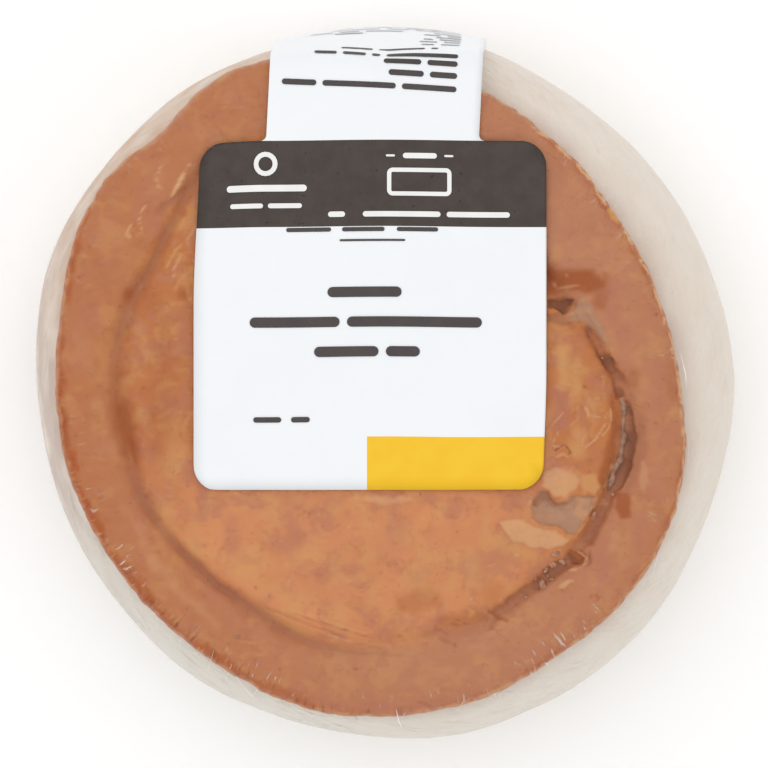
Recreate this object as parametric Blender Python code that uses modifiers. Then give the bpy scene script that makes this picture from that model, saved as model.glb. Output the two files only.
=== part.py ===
"""A large hand-raised pork pie with a die-cut label laid over it.

The crust is one closed solid: a flat base, a side that bows out, a rolled rim with a free
lip, the crease where the rim turns down to the lid, and a low lid that is torn at one side.
The label is one thin solid: a square panel on the lid, and a narrower strip that runs back
over the rim and down the side.

Metres, +Z up, +Y towards the strip. A bearing is measured from +X towards +Y, in degrees.
"""

import math

import bmesh
import bpy
from mathutils import Vector

# Driving dimensions
BELLY_RADIUS = 0.0579
LID_HEIGHT = 0.0490
PANEL_WIDTH = 0.058

# Heights on the crust
BELLY_HEIGHT = 0.44 * LID_HEIGHT
SHOULDER_HEIGHT = 0.845 * LID_HEIGHT
LIP_HEIGHT = 0.875 * LID_HEIGHT
CREASE_HEIGHT = 0.93 * LID_HEIGHT
LID_FALL = 0.0010  # from the lid's middle to the rim's crest
CREST_HEIGHT = LID_HEIGHT - LID_FALL
LID_EDGE_ROUND = 0.0016

# Radii on the crust, each a mean and its waves: (lobes, height, bearing of a crest)
BELLY_WAVES = ((1, 0.0008, 88), (2, 0.0010, -54), (3, 0.0002, 30))
BASE_SHARE = 0.83  # of the belly's radius
LIP_RADIUS = 0.0530
LIP_WAVES = ((1, 0.0030, 166), (2, 0.0027, -60), (3, 0.0007, -3), (5, 0.0004, -17))
LIP_OVERHANG = 0.0010
CREASE_RADIUS = 0.0413
CREASE_WAVES = ((1, 0.0041, -174), (2, 0.0032, -54), (3, 0.0019, -14), (4, 0.0010, 1))
CREST_WAVES = ((2, 0.0003, 35), (3, 0.0002, 100), (7, 0.0001, 20))
SIDE_TURN = math.radians(76)  # how far the side curls in under the lip
SIDE_SAGS = ((5, 0.0003, 12), (9, 0.0002, 40))
RIM_FULLNESS = 0.5  # 1 is half an ellipse, less is squarer

# The dent in the lip, left of the label's strip
DENT_BEARING = math.radians(131)
DENT_SPREAD = math.radians(9)
DENT_DEPTH = 0.0026

# The torn part of the lid, and the split in the crease beside it
SPLIT_BEARING = math.radians(-9)
SPLIT_SPREAD = math.radians(27)
SPLIT_DEPTH = 0.0034
TEARS = (  # bearing and distance of the middle, length across the bearing, width, depth
    (-33.0, 0.0352, 0.0125, 0.0074, 0.0026),
    (22.0, 0.0335, 0.0062, 0.0040, 0.0030),
)

# The label
PANEL_LENGTH = 0.0577
PANEL_MIDDLE = -0.0023  # along X
PANEL_FRONT = -0.0164  # along Y
STRIP_WIDTH = 0.035
STRIP_LENGTH = 0.053
STRIP_MIDDLE = -0.0019  # along X, where it leaves the panel
STRIP_LEAN = 0.05  # how far it then runs to +X, as a share of its length
PANEL_CORNER = 0.0042
STRIP_CORNER = 0.0028
NECK_RADIUS = 0.0010
LABEL_THICKNESS = 0.0003
LID_GAP = 0.0004
SIDE_GAP = 0.0007
STIFFNESS = 0.86  # it bends as the crust does this share as far from the middle

# How finely the solids are faceted
CRUST_STEPS = 90
PROFILE_ROWS = (("base", 2), ("side", 12), ("lip", 2), ("rim", 9), ("lid", 13))
LABEL_PITCH = 0.0048
SHOULDER_PITCH = 0.0015
SHOULDER_RUN = (0.050, 0.076)  # the stretch of the label that bends over the rim
ARC_STEPS = 4
SECTION_STEPS = 32
DEPTH_ROUNDS = 6


def waved(mean, waves, bearing):
    """A mean with its waves added, at a bearing in radians."""
    return mean + sum(h * math.cos(n * (bearing - math.radians(at))) for n, h, at in waves)


def belly_radius(bearing):
    return waved(BELLY_RADIUS, BELLY_WAVES, bearing)


def lip_radius(bearing):
    off = math.remainder(bearing - DENT_BEARING, 2 * math.pi) / DENT_SPREAD
    return waved(LIP_RADIUS, LIP_WAVES, bearing) - DENT_DEPTH * math.exp(-off * off)


def crease_radius(bearing):
    return waved(CREASE_RADIUS, CREASE_WAVES, bearing)


def crest_radius(bearing):
    return (lip_radius(bearing) + crease_radius(bearing)) / 2


def crest_height(bearing):
    return waved(CREST_HEIGHT, CREST_WAVES, bearing)


def crease_height(bearing):
    """The crease's floor, which drops where the crust has split."""
    off = math.remainder(bearing - SPLIT_BEARING, 2 * math.pi) / SPLIT_SPREAD
    return CREASE_HEIGHT - SPLIT_DEPTH * math.exp(-off * off)


def side_point(bearing, turn):
    """Radius and height on the side, at a turn from -90 degrees, the base, over 0, the belly."""
    belly = belly_radius(bearing)
    sag = waved(0.0, SIDE_SAGS, bearing) * math.cos(turn) ** 2
    if turn < 0:
        inset = belly * (1 - BASE_SHARE) * (1 - math.cos(turn))
        return belly + sag - inset, BELLY_HEIGHT * (1 + math.sin(turn))
    inset = belly - lip_radius(bearing) + LIP_OVERHANG
    inset *= (1 - math.cos(turn)) / (1 - math.cos(SIDE_TURN))
    rise = (SHOULDER_HEIGHT - BELLY_HEIGHT) * math.sin(turn) / math.sin(SIDE_TURN)
    return belly + sag - inset, BELLY_HEIGHT + rise


def rim_point(bearing, turn):
    """Radius and height on the rolled rim, from 0 at the lip to 180 degrees in the crease."""
    half = (lip_radius(bearing) - crease_radius(bearing)) / 2
    fall = (1 - math.cos(turn)) / 2
    floor = LIP_HEIGHT + (crease_height(bearing) - LIP_HEIGHT) * fall
    rise = (crest_height(bearing) - floor) * max(math.sin(turn), 0.0) ** RIM_FULLNESS
    return crest_radius(bearing) + half * math.cos(turn), floor + rise


def dome_height(bearing, radius):
    """The height of the low dome that runs from the lid's middle out to the rim's crest."""
    fall = LID_HEIGHT - crest_height(bearing)
    return LID_HEIGHT - fall * (radius / crest_radius(bearing)) ** 2


def lid_height(bearing, radius):
    """The lid's height before its tears: the dome, with its edge turned down into the crease."""
    crease = crease_radius(bearing)
    drop = dome_height(bearing, crease) - crease_height(bearing)
    return dome_height(bearing, radius) - drop * math.exp(-(crease - radius) / LID_EDGE_ROUND)


def tear_depth(x, y):
    """How far the torn places sink at a point."""
    depth = 0.0
    for at, distance, length, width, deep in TEARS:
        away, across = turned(x, y, math.radians(at))
        off = ((away - distance) / (width / 2)) ** 2 + (across / (length / 2)) ** 2
        depth += deep / (1 + off**3)
    return depth


def turned(x, y, bearing):
    """A point's distance along a bearing, and across it."""
    cos, sin = math.cos(bearing), math.sin(bearing)
    return x * cos + y * sin, y * cos - x * sin


def profile_point(name, share, bearing):
    """Radius and height at a share of one section of the profile."""
    if name == "base":
        return share * BASE_SHARE * belly_radius(bearing), 0.0
    if name == "side":
        return side_point(bearing, -math.pi / 2 + share * (math.pi / 2 + SIDE_TURN))
    if name == "lip":
        radius = lip_radius(bearing) - LIP_OVERHANG * (1 - share)
        return radius, SHOULDER_HEIGHT + (LIP_HEIGHT - SHOULDER_HEIGHT) * share
    if name == "rim":
        return rim_point(bearing, math.pi * share)
    radius = crease_radius(bearing) * (1 - share)
    return radius, lid_height(bearing, radius)


def section_of(row):
    """The section of the profile that a row of the cage lies on, and the share of it."""
    for name, rows in PROFILE_ROWS:
        if row <= rows:
            return name, row / rows
        row -= rows
    raise ValueError("the cage has more rows than the profile")


def crust_point(x, y, z):
    """Where a point of the unit sphere that the crust starts from goes."""
    rows = sum(count for _, count in PROFILE_ROWS)
    row = round(math.acos(max(-1.0, min(1.0, -z))) / math.pi * rows)
    name, share = section_of(row)
    bearing = math.atan2(y, x)
    radius, height = profile_point(name, share, bearing)
    x, y = radius * math.cos(bearing), radius * math.sin(bearing)
    if name in ("rim", "lid"):
        height -= tear_depth(x, y)
    return x, y, height


def depth_at(x, radius_of):
    """The Y at which a surface that is radius_of(bearing) from the axis meets the plane at x."""
    y = BELLY_RADIUS
    for _ in range(DEPTH_ROUNDS):
        y = math.sqrt(max(radius_of(math.atan2(y, x)) ** 2 - x * x, 0.0))
    return y


def crust_section(x):
    """Points (y, z) just clear of the crust in the plane at x, from the panel's front to the base."""
    crease = depth_at(x, crease_radius)
    points = []
    for step in range(SECTION_STEPS):
        y = PANEL_FRONT + (crease - PANEL_FRONT) * step / SECTION_STEPS
        points.append((y, dome_height(math.atan2(y, x), math.hypot(x, y)) + LID_GAP))
    stretches = ((rim_point, math.pi, 0.0, LID_GAP), (side_point, SIDE_TURN, -math.pi / 2, SIDE_GAP))
    for surface, start, end, gap in stretches:
        for step in range(SECTION_STEPS + 1):
            turn = start + (end - start) * step / SECTION_STEPS
            y = depth_at(x, lambda bearing: surface(bearing, turn)[0] + gap)
            points.append((y, surface(math.atan2(y, x), turn)[1] + gap * math.sin(turn)))
    return points


def taut(points):
    """The points that a sheet pulled tight over the whole row of them touches."""
    line = []
    for y, z in points:
        while len(line) > 1:
            (y0, z0), (y1, z1) = line[-2:]
            if (y1 - y0) * (z - z0) < (z1 - z0) * (y - y0):
                break
            line.pop()
        line.append((y, z))
    return line


def draped(x, run):
    """Where a point of the flat label lies on the pie, a distance run back from its front."""
    x += PANEL_MIDDLE + STRIP_LEAN * max(run - PANEL_LENGTH, 0.0)
    line = taut(crust_section(x * STIFFNESS))
    for start, end in zip(line, line[1:]):
        length = math.dist(start, end)
        if run <= length:
            return Vector((x, *Vector(start).lerp(Vector(end), run / length)))
        run -= length
    raise ValueError("the label is longer than the line it follows")


def strip_edges():
    """The strip's left and right edge, from the flat panel's middle line."""
    middle = STRIP_MIDDLE - PANEL_MIDDLE
    return middle - STRIP_WIDTH / 2, middle + STRIP_WIDTH / 2


def label_outline():
    """The flat label's outline, anticlockwise from the panel's front corner on the right.

    Each corner is (x, y, bearing at which its arc starts, radius), and a radius under 0 is
    that of an inside corner.
    """
    half, neck, back = PANEL_WIDTH / 2, PANEL_LENGTH, PANEL_LENGTH + STRIP_LENGTH
    left, right = strip_edges()
    corners = (
        (half, 0.0, 270, PANEL_CORNER), (half, neck, 0, PANEL_CORNER),
        (right, neck, 270, -NECK_RADIUS), (right, back, 0, STRIP_CORNER),
        (left, back, 90, STRIP_CORNER), (left, neck, 0, -NECK_RADIUS),
        (-half, neck, 90, PANEL_CORNER), (-half, 0.0, 180, PANEL_CORNER),
    )
    points = []
    for x, y, start, radius in corners:
        sweep, radius = math.copysign(90, radius), abs(radius)
        middle = math.radians(start + sweep / 2)
        x -= math.copysign(radius, math.cos(middle))
        y -= math.copysign(radius, math.sin(middle))
        for step in range(ARC_STEPS + 1):
            bearing = math.radians(start + sweep * step / ARC_STEPS)
            points.append((x + radius * math.cos(bearing), y + radius * math.sin(bearing)))
    return points


def cut_across(sheet, axis, places):
    """Cuts the sheet with a plane across an axis at each place, so that it can bend there."""
    for place in places:
        point = [0.0, 0.0, 0.0]
        point[axis] = place
        normal = [0.0, 0.0, 0.0]
        normal[axis] = 1.0
        geometry = sheet.verts[:] + sheet.edges[:] + sheet.faces[:]
        bmesh.ops.bisect_plane(sheet, geom=geometry, plane_co=point, plane_no=normal, dist=1e-6)


def stepped(stops, pitches):
    """Places from the first stop to the last, each stretch in equal steps up to its pitch."""
    places = []
    for start, end, pitch in zip(stops, stops[1:], pitches):
        count = math.ceil((end - start) / pitch)
        places += [start + (end - start) * step / count for step in range(count)]
    return places[1:]


def finished(name, shape, collection, materials):
    """The shape as an object of the collection, with its materials, smooth where it is round."""
    mesh = bpy.data.meshes.new(name)
    shape.to_mesh(mesh)
    shape.free()
    mesh.shade_smooth()
    for material in materials:
        mesh.materials.append(material)
    piece = bpy.data.objects.new(name, mesh)
    collection.objects.link(piece)
    return piece


def plain_material(name, colour, roughness):
    material = bpy.data.materials.new(name)
    material.use_nodes = True
    shader = material.node_tree.nodes["Principled BSDF"]
    shader.inputs["Base Color"].default_value = (*colour, 1.0)
    shader.inputs["Roughness"].default_value = roughness
    shader.inputs["Metallic"].default_value = 0.0
    return material


def make_crust(collection):
    """The pie: a sphere's rows and columns drawn out along the crust's profile."""
    rows = sum(count for _, count in PROFILE_ROWS)
    crust = bmesh.new()
    bmesh.ops.create_uvsphere(crust, u_segments=CRUST_STEPS, v_segments=rows, radius=1.0)
    for vert in crust.verts:
        vert.co = crust_point(*vert.co)
    bmesh.ops.recalc_face_normals(crust, faces=crust.faces)
    for face in crust.faces:
        face.material_index = int(face.calc_center_median().z < LIP_HEIGHT - LIP_OVERHANG / 2)
    glazed = plain_material("crust_glazed", (0.47, 0.19, 0.08), 0.45)
    pale = plain_material("crust_pale", (0.72, 0.62, 0.51), 0.6)
    piece = finished("pie", crust, collection, (glazed, pale))
    piece.data.set_sharp_from_angle(angle=math.radians(50))
    return piece


def make_label(collection):
    """The label: cut out flat, bent over the pie, and given its thickness outwards."""
    sheet = bmesh.new()
    sheet.faces.new([sheet.verts.new((x, y, 0.0)) for x, y in label_outline()])
    half = PANEL_WIDTH / 2
    cut_across(sheet, 0, stepped((-half, *strip_edges(), half), (LABEL_PITCH,) * 3))
    runs = (0.0, SHOULDER_RUN[0], PANEL_LENGTH, SHOULDER_RUN[1], PANEL_LENGTH + STRIP_LENGTH)
    cut_across(sheet, 1, stepped(runs, (LABEL_PITCH, SHOULDER_PITCH, SHOULDER_PITCH, LABEL_PITCH)))
    for vert in sheet.verts:
        vert.co = draped(vert.co.x, vert.co.y)
    piece = finished("label", sheet, collection, (plain_material("label", (0.9, 0.92, 0.93), 0.4),))
    thickness = piece.modifiers.new("thickness", "SOLIDIFY")
    thickness.thickness = LABEL_THICKNESS
    thickness.offset = 1.0
    return piece


def centre_on_origin(pieces):
    """Moves the pieces' meshes so that the whole's box is centred on the origin in X and Y."""
    bpy.context.view_layer.update()
    corners = [piece.matrix_world @ Vector(corner) for piece in pieces for corner in piece.bound_box]
    low = [min(corner[axis] for corner in corners) for axis in (0, 1)]
    high = [max(corner[axis] for corner in corners) for axis in (0, 1)]
    shift = Vector((-(low[0] + high[0]) / 2, -(low[1] + high[1]) / 2, 0.0))
    for piece in pieces:
        for vert in piece.data.vertices:
            vert.co += shift


def main():
    for old in list(bpy.data.objects):
        bpy.data.objects.remove(old, do_unlink=True)
    collection = bpy.data.collections.new("pork_pie")
    bpy.context.scene.collection.children.link(collection)
    centre_on_origin([make_crust(collection), make_label(collection)])


main()
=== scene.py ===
"""A large hand-raised pork pie, wrapped in clear film and labelled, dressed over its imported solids.

The frame holds two solids: `pie`, the whole crust, and `label`, the die-cut sheet over it. Here the
crust becomes a pale bowed side and a glazed top, rim and lid in one, whose right side is torn, with
the jelly, flakes and crumbs of the tear. The film that wraps them is a piece of its own, and so are
the label's paper, with its fields of colour, and the plain bars that stand for its print.

Metres, +Z up, +Y towards the label's strip. A bearing runs from +X towards +Y. The places of marks
are in millimetres from the pie's axis.
"""

import logging
import math
from dataclasses import dataclass, field
from enum import Enum
from typing import Callable, Iterable

import bmesh
import bpy
import numpy as np
from mathutils import Matrix, Vector
from mathutils.bvhtree import BVHTree


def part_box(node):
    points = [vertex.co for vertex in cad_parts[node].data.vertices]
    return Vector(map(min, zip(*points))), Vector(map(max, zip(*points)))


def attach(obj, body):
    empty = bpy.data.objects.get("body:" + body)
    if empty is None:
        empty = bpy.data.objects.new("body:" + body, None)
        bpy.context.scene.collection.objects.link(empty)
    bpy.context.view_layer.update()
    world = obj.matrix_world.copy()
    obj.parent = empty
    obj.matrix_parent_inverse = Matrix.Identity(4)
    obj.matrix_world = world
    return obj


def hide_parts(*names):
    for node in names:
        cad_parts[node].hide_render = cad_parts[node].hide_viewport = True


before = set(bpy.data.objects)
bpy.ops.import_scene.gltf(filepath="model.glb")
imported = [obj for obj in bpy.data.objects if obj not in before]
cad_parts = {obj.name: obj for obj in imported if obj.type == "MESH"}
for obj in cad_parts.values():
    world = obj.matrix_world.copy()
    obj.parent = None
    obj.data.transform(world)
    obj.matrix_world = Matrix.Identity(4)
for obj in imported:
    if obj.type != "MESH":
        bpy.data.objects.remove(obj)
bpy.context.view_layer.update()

Array = np.ndarray
Socket = bpy.types.NodeSocket
Tree = bpy.types.NodeTree
Colour = tuple[float, float, float]
Row = tuple[float, float, float]
MM = 0.001
TAU = 2 * math.pi
LOG = logging.getLogger("pork_pie")


class Slot(Enum):
    """The material slots, by name."""

    CRUST = "crust"
    LABEL = "label"


# ---------------------------------------------------------------- relief and form


def smooth(low: float, high: float, value: Array) -> Array:
    """Rises smoothly from 0 at low to 1 at high.

    Args:
        low: where the rise starts.
        high: where it ends, which may lie below low.
        value: the numbers to grade.
    Returns:
        The grade of each number, 0 to 1.
    """
    share = np.clip((np.asarray(value) - low) / (high - low), 0.0, 1.0)
    return share * share * (3 - 2 * share)


@dataclass(frozen=True)
class Grain:
    """Smooth random relief of one size, the same each run."""

    size: float
    seed: int = 0
    octaves: int = 2

    def at(self, points: Array) -> Array:
        """The relief at points of three coordinates, about -1 to 1."""
        total = np.zeros(len(points))
        weight, spread, size = 1.0, 0.0, self.size
        for octave in range(self.octaves):
            total += weight * self._layer(points / size, self.seed + 31 * octave)
            spread += weight
            weight, size = weight / 2, size / 2
        return total / spread

    @staticmethod
    def _layer(points: Array, seed: int) -> Array:
        """One layer of the relief, on a grid of unit cells."""
        cell = np.floor(points).astype(np.int64)
        part = points - cell
        part = part * part * part * (part * (part * 6 - 15) + 10)
        total = np.zeros(len(points))
        for corner in np.ndindex(2, 2, 2):
            share = np.prod(np.where(corner, part, 1 - part), axis=1)
            total += share * Grain._knot(cell + np.array(corner), seed)
        return total

    @staticmethod
    def _knot(cell: Array, seed: int) -> Array:
        """The random value of each grid point, -1 to 1."""
        mask = np.int64(0xFFFFFFFF)
        key = cell[:, 0] * 73856093 ^ cell[:, 1] * 19349663 ^ cell[:, 2] * 83492791
        key = (key ^ np.int64(seed) * 2654435761) & mask
        key = (key ^ (key >> 15)) * 2246822519 & mask
        key = (key ^ (key >> 13)) * 3266489917 & mask
        return (((key ^ (key >> 16)) & mask) / 2147483647.5) - 1.0


@dataclass(frozen=True)
class Waves:
    """A radius or a height that rises and falls round the pie."""

    mean: float
    terms: tuple[tuple[int, float, float], ...]  # lobes, height, a crest's bearing in degrees

    def at(self, bearing: Array) -> Array:
        """Its value at bearings."""
        total = self.mean + np.zeros_like(bearing)
        for lobes, height, crest in self.terms:
            total += height * np.cos(lobes * (bearing - math.radians(crest)))
        return total


@dataclass(frozen=True)
class DentedWaves(Waves):
    """A radius with waves and one dent, at a bearing in degrees."""

    dent: float = 131
    spread: float = 9
    depth: float = 0.0026

    def at(self, bearing: Array) -> Array:
        """Its value at bearings."""
        off = np.remainder(np.degrees(bearing) - self.dent + 180, 360) - 180
        return super().at(bearing) - self.depth * np.exp(-((off / self.spread) ** 2))


@dataclass(frozen=True)
class Around:
    """A value that changes round the pie, known at some bearings in degrees."""

    knots: dict[float, float]

    def at(self, bearing: Array) -> Array:
        """Its value at bearings, eased over a few degrees."""
        places, values = list(self.knots), list(self.knots.values())
        turns = [np.interp(np.degrees(bearing) + ease, places, values, period=360) for ease in (-6, -2, 2, 6)]
        return np.mean(turns, axis=0)


@dataclass(frozen=True)
class CrustForm:
    """The crust's sizes, and the surfaces worked out from them, as the solid `pie` has them."""

    lid_height: float = 0.0490
    belly: Waves = Waves(0.0579, ((1, 0.0008, 88), (2, 0.0010, -54), (3, 0.0002, 30)))
    sags: Waves = Waves(0.0, ((5, 0.0003, 12), (9, 0.0002, 40)))
    lip: Waves = DentedWaves(0.0530, (
        (1, 0.0030, 166), (2, 0.0027, -60), (3, 0.0007, -3), (5, 0.0004, -17),
    ))
    crease: Waves = Waves(0.0413, ((1, 0.0041, -174), (2, 0.0032, -54), (3, 0.0019, -14), (4, 0.0010, 1)))
    crest_fall: float = 0.0010
    crest_waves: Waves = Waves(0.0, ((2, 0.0003, 35), (3, 0.0002, 100), (7, 0.0001, 20)))
    base_share: float = 0.83
    overhang: float = 0.0010
    side_turn: float = math.radians(76)
    fullness: float = 0.5

    @property
    def belly_height(self) -> float:
        """Height of the widest place."""
        return 0.44 * self.lid_height

    @property
    def shoulder_height(self) -> float:
        """Height at which the side goes under the lip."""
        return 0.845 * self.lid_height

    @property
    def lip_height(self) -> float:
        """Height of the rim's free edge."""
        return 0.875 * self.lid_height

    @property
    def crease_height(self) -> float:
        """Height of the crease's floor."""
        return 0.93 * self.lid_height

    def side(self, bearing: Array, turn: Array) -> tuple[Array, Array]:
        """The side, from a turn of -90 degrees at the base, over 0 at the belly.

        Args:
            bearing: round the pie.
            turn: round the side's section.
        Returns:
            Radius and height of each point.
        """
        belly = self.belly.at(bearing)
        sag = self.sags.at(bearing) * np.cos(turn) ** 2
        low = belly * (1 - self.base_share) * (1 - np.cos(turn))
        high = belly - self.lip.at(bearing) + self.overhang
        high = high * (1 - np.cos(turn)) / (1 - math.cos(self.side_turn))
        rise = self.shoulder_height - self.belly_height
        rise = rise * np.sin(turn) / math.sin(self.side_turn)
        height = self.belly_height + np.where(turn < 0, self.belly_height * np.sin(turn), rise)
        return belly + sag - np.where(turn < 0, low, high), height

    def crest_radius(self, bearing: Array) -> Array:
        """Radius of the rim's highest line."""
        return (self.lip.at(bearing) + self.crease.at(bearing)) / 2

    def crest_height(self, bearing: Array) -> Array:
        """Height of the rim's highest line."""
        return self.lid_height - self.crest_fall + self.crest_waves.at(bearing)

    def rim(self, bearing: Array, turn: Array) -> tuple[Array, Array]:
        """The rolled rim, from a turn of 0 at the lip to 180 degrees in the crease.

        Args:
            bearing: round the pie.
            turn: round the rim's section.
        Returns:
            Radius and height of each point.
        """
        half = (self.lip.at(bearing) - self.crease.at(bearing)) / 2
        floor = self.lip_height + (self.crease_height - self.lip_height) * (1 - np.cos(turn)) / 2
        rise = (self.crest_height(bearing) - floor) * np.clip(np.sin(turn), 0, 1) ** self.fullness
        return self.crest_radius(bearing) + half * np.cos(turn), floor + rise

    def dome(self, bearing: Array, radius: Array) -> Array:
        """Height of the low dome from the lid's middle to the rim's crest."""
        fall = self.lid_height - self.crest_height(bearing)
        return self.lid_height - fall * (radius / self.crest_radius(bearing)) ** 2

    def middle(self) -> Array:
        """Where the pie's axis stands in the frame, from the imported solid's box."""
        bearing = np.arange(90) / 90 * TAU
        radius = self.side(bearing, np.zeros_like(bearing))[0]
        x, y = radius * np.cos(bearing), radius * np.sin(bearing)
        low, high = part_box("pie")
        return np.array([
            (low.x + high.x - x.min() - x.max()) / 2,
            (low.y + high.y - y.min() - y.max()) / 2,
            0.0,
        ])


FORM = CrustForm()
MIDDLE = FORM.middle()


def placed(bearing: Array, radius: Array, height: Array) -> Array:
    """Points of the pie in the frame.

    Args:
        bearing: round the pie's axis.
        radius: from the pie's axis.
        height: above the base.
    Returns:
        One row of three coordinates for each point.
    """
    flat = np.column_stack((radius * np.cos(bearing), radius * np.sin(bearing), height))
    return flat + MIDDLE


def taut(points: Array) -> Array:
    """The line of a sheet pulled tight over a section.

    Args:
        points: the section's points in order, clockwise round its inside.
    Returns:
        Those of them that the sheet touches.
    """
    line: list[Array] = []
    for point in points:
        while len(line) > 1:
            step, after = line[-1] - line[-2], point - line[-2]
            if step[0] * after[1] - step[1] * after[0] < 0:
                break
            line.pop()
        line.append(point)
    return np.array(line)


def runs_along(path: Array) -> Array:
    """The length of a path up to each of its points."""
    return np.concatenate(([0.0], np.cumsum(np.linalg.norm(np.diff(path, axis=0), axis=1))))


def spread_along(path: Array, runs: Array) -> Array:
    """The points of a path at lengths along it.

    Args:
        path: its points, one row of two each.
        runs: the lengths.
    Returns:
        One row of two for each length.
    """
    run = runs_along(path)
    return np.column_stack([np.interp(runs, run, column) for column in path.T])


# ---------------------------------------------------------------- marks


class Tone(Enum):
    """What a mark does to the crust's colour, by the name that its share is kept under. Shade and valley are
    painted shade, in slits, hollows, creases and grooves.
    """

    GOLD = "gold"
    ROSY = "rosy"
    BURNT = "burnt"
    CREAM = "cream"
    FLESH = "flesh"
    SHADE = "shade"
    VALLEY = "valley"


GOLD, ROSY, BURNT, CREAM, FLESH, SHADE, VALLEY = Tone


def beside(spot: Array, start: Array, end: Array) -> tuple[Array, Array]:
    """Where places lie beside a straight line.

    Args:
        spot: the places, one row of two each.
        start: the line's start.
        end: its end.
    Returns:
        How far they are from it, and the share of its length that they are nearest to.
    """
    along = end - start
    share = np.clip((spot - start) @ along / (along @ along), 0, 1)
    return np.linalg.norm(spot - start - share[:, None] * along, axis=1), share


@dataclass(frozen=True)
class Mark:
    """A place on the crust's top with a tone of its own, raised or sunk: a line with a width."""

    tone: Tone
    share: float
    line: tuple[tuple[float, ...], ...]  # across, along and width
    rise: float = 0.0
    soft: float = 0.4
    ragged: float = 0.25

    def cover(self, at: Array) -> Array:
        """How much of the mark lies on each point, 0 to 1.

        Args:
            at: places in millimetres from the pie's axis, one row of two each.
        Returns:
            Its share of each place.
        """
        line = np.array(self.line)
        reach = line[:, 2:].max(initial=0.0) / 2 + self.ragged
        low, high = line[:, :2].min(axis=0) - reach, line[:, :2].max(axis=0) + reach
        near = np.all((at > low) & (at < high), axis=1)
        cover = np.zeros(len(at))
        spot = at[near]
        if not len(spot):
            return cover
        rough = Grain(max(1.2, 2.5 * self.ragged), 5, 3).at(np.column_stack((spot, np.full(len(spot), 3.7))))
        cover[near] = smooth(0.0, -self.soft, self._off(spot, line) + self.ragged * rough)
        return cover

    def _off(self, spot: Array, line: Array) -> Array:
        """How far places lie outside the mark's edge, under 0 inside it."""
        off = np.linalg.norm(spot - line[0, :2], axis=1) - line[0, 2] / 2
        for start, end in zip(line[:-1], line[1:]):
            gap, share = beside(spot, start[:2], end[:2])
            off = np.minimum(off, gap - (start[2] + (end[2] - start[2]) * share) / 2)
        return off


@dataclass(frozen=True)
class Patch(Mark):
    """A mark that fills an outline, whose corners are its line."""

    def _off(self, spot: Array, line: Array) -> Array:
        """How far places lie outside the outline, under 0 inside it."""
        off, inside = np.full(len(spot), np.inf), np.zeros(len(spot), bool)
        for start, end in zip(line[:, :2], np.roll(line[:, :2], -1, axis=0)):
            off = np.minimum(off, beside(spot, start, end)[0])
            crossed = (start[1] > spot[:, 1]) != (end[1] > spot[:, 1])
            rise = end[1] - start[1] or 1e-9
            share = (spot[:, 1] - start[1]) / rise
            inside ^= crossed & (spot[:, 0] < start[0] + share * (end[0] - start[0]))
        return np.where(inside, -off, off)


def dab(tone: Tone, share: float, x: float, y: float, width: float, height: float = 0.0) -> Mark:
    """A broad soft patch of a tone.

    Args:
        tone: its tone.
        share: how strong it is.
        x: its middle across.
        y: its middle along.
        width: its width.
        height: how much longer it is along +Y than it is wide.
    Returns:
        The mark.
    """
    line = ((x, y - height / 2, width), (x, y + height / 2 + 0.01, width))
    return Mark(tone, share, line, 0.0, width * 0.45, width * 0.22)


def light(share: float, width: float, *spots: tuple[float, float]) -> Mark:
    """A thin light line through places across and along."""
    return Mark(CREAM, share, tuple((x, y, width) for x, y in spots), 0.10, 0.2, 0.12)


HOLLOW_MARKS = (
    # the hollow at the label's edge and the smaller one under it, in painted shade
    Patch(SHADE, 0.80, (
        (26.5, 15.4), (28.2, 15.3), (30.2, 15.5), (31.2, 14.6), (30.6, 13.2), (29.8, 12.4), (29.2, 12.7),
        (28.4, 13.2), (26.5, 13.0),
    ), -1.2, 0.6, 0.5),
    Mark(VALLEY, 0.65, ((26.6, 12.0, 2.2), (28.8, 11.7, 2.4), (31.0, 11.0, 1.8)), -0.35, 0.8, 0.5),
    Mark(SHADE, 0.35, ((29.2, 11.1, 0.6), (30.4, 11.0, 0.9)), -0.3, 0.6, 0.3),
    # the slit along the flap, opening into the crevice, in painted shade
    Mark(VALLEY, 0.70, (
        (33.2, 10.6, 1.0), (34.3, 8.8, 1.4), (35.4, 6.6, 1.8), (36.6, 4.6, 2.4), (38.4, 2.0, 2.4),
    ), -0.4, 1.0, 0.4),
    Mark(SHADE, 0.75, ((32.9, 10.8, 0.3), (33.6, 10.0, 0.7), (34.2, 8.9, 0.4)), -0.5, 0.35, 0.2),
    Mark(SHADE, 0.65, (
        (35.0, 7.4, 0.4), (35.8, 6.0, 1.3), (36.8, 4.4, 1.9), (37.8, 2.8, 1.2),
    ), -0.7, 0.8, 0.35),
    Mark(SHADE, 0.60, ((37.9, 1.4, 0.6), (38.4, 0.2, 1.1), (38.8, -0.9, 1.3)), -0.6, 0.7, 0.35),
    # the pale flap of film and pastry beside it
    Patch(FLESH, 0.92, (
        (29.9, 12.7), (30.6, 12.0), (31.0, 12.6), (31.8, 14.6), (33.0, 15.0), (34.1, 14.3), (34.9, 12.6),
        (35.9, 10.8), (36.4, 9.2), (36.5, 7.4), (35.6, 8.0), (34.6, 9.4), (33.6, 10.6), (32.6, 11.3),
        (31.2, 11.2), (30.2, 11.4),
    ), 0.30, 0.30, 0.35),
    Mark(CREAM, 0.42, (
        (30.4, 12.4, 1.0), (32.0, 13.0, 1.8), (33.6, 13.0, 1.8), (35.2, 10.4, 1.0),
    ), 0.10, 0.7, 0.4),
    Mark(CREAM, 0.55, ((36.6, 7.5, 0.3), (37.2, 6.6, 0.6), (37.6, 5.6, 0.2)), 0.20, 0.3, 0.1),
)

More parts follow.
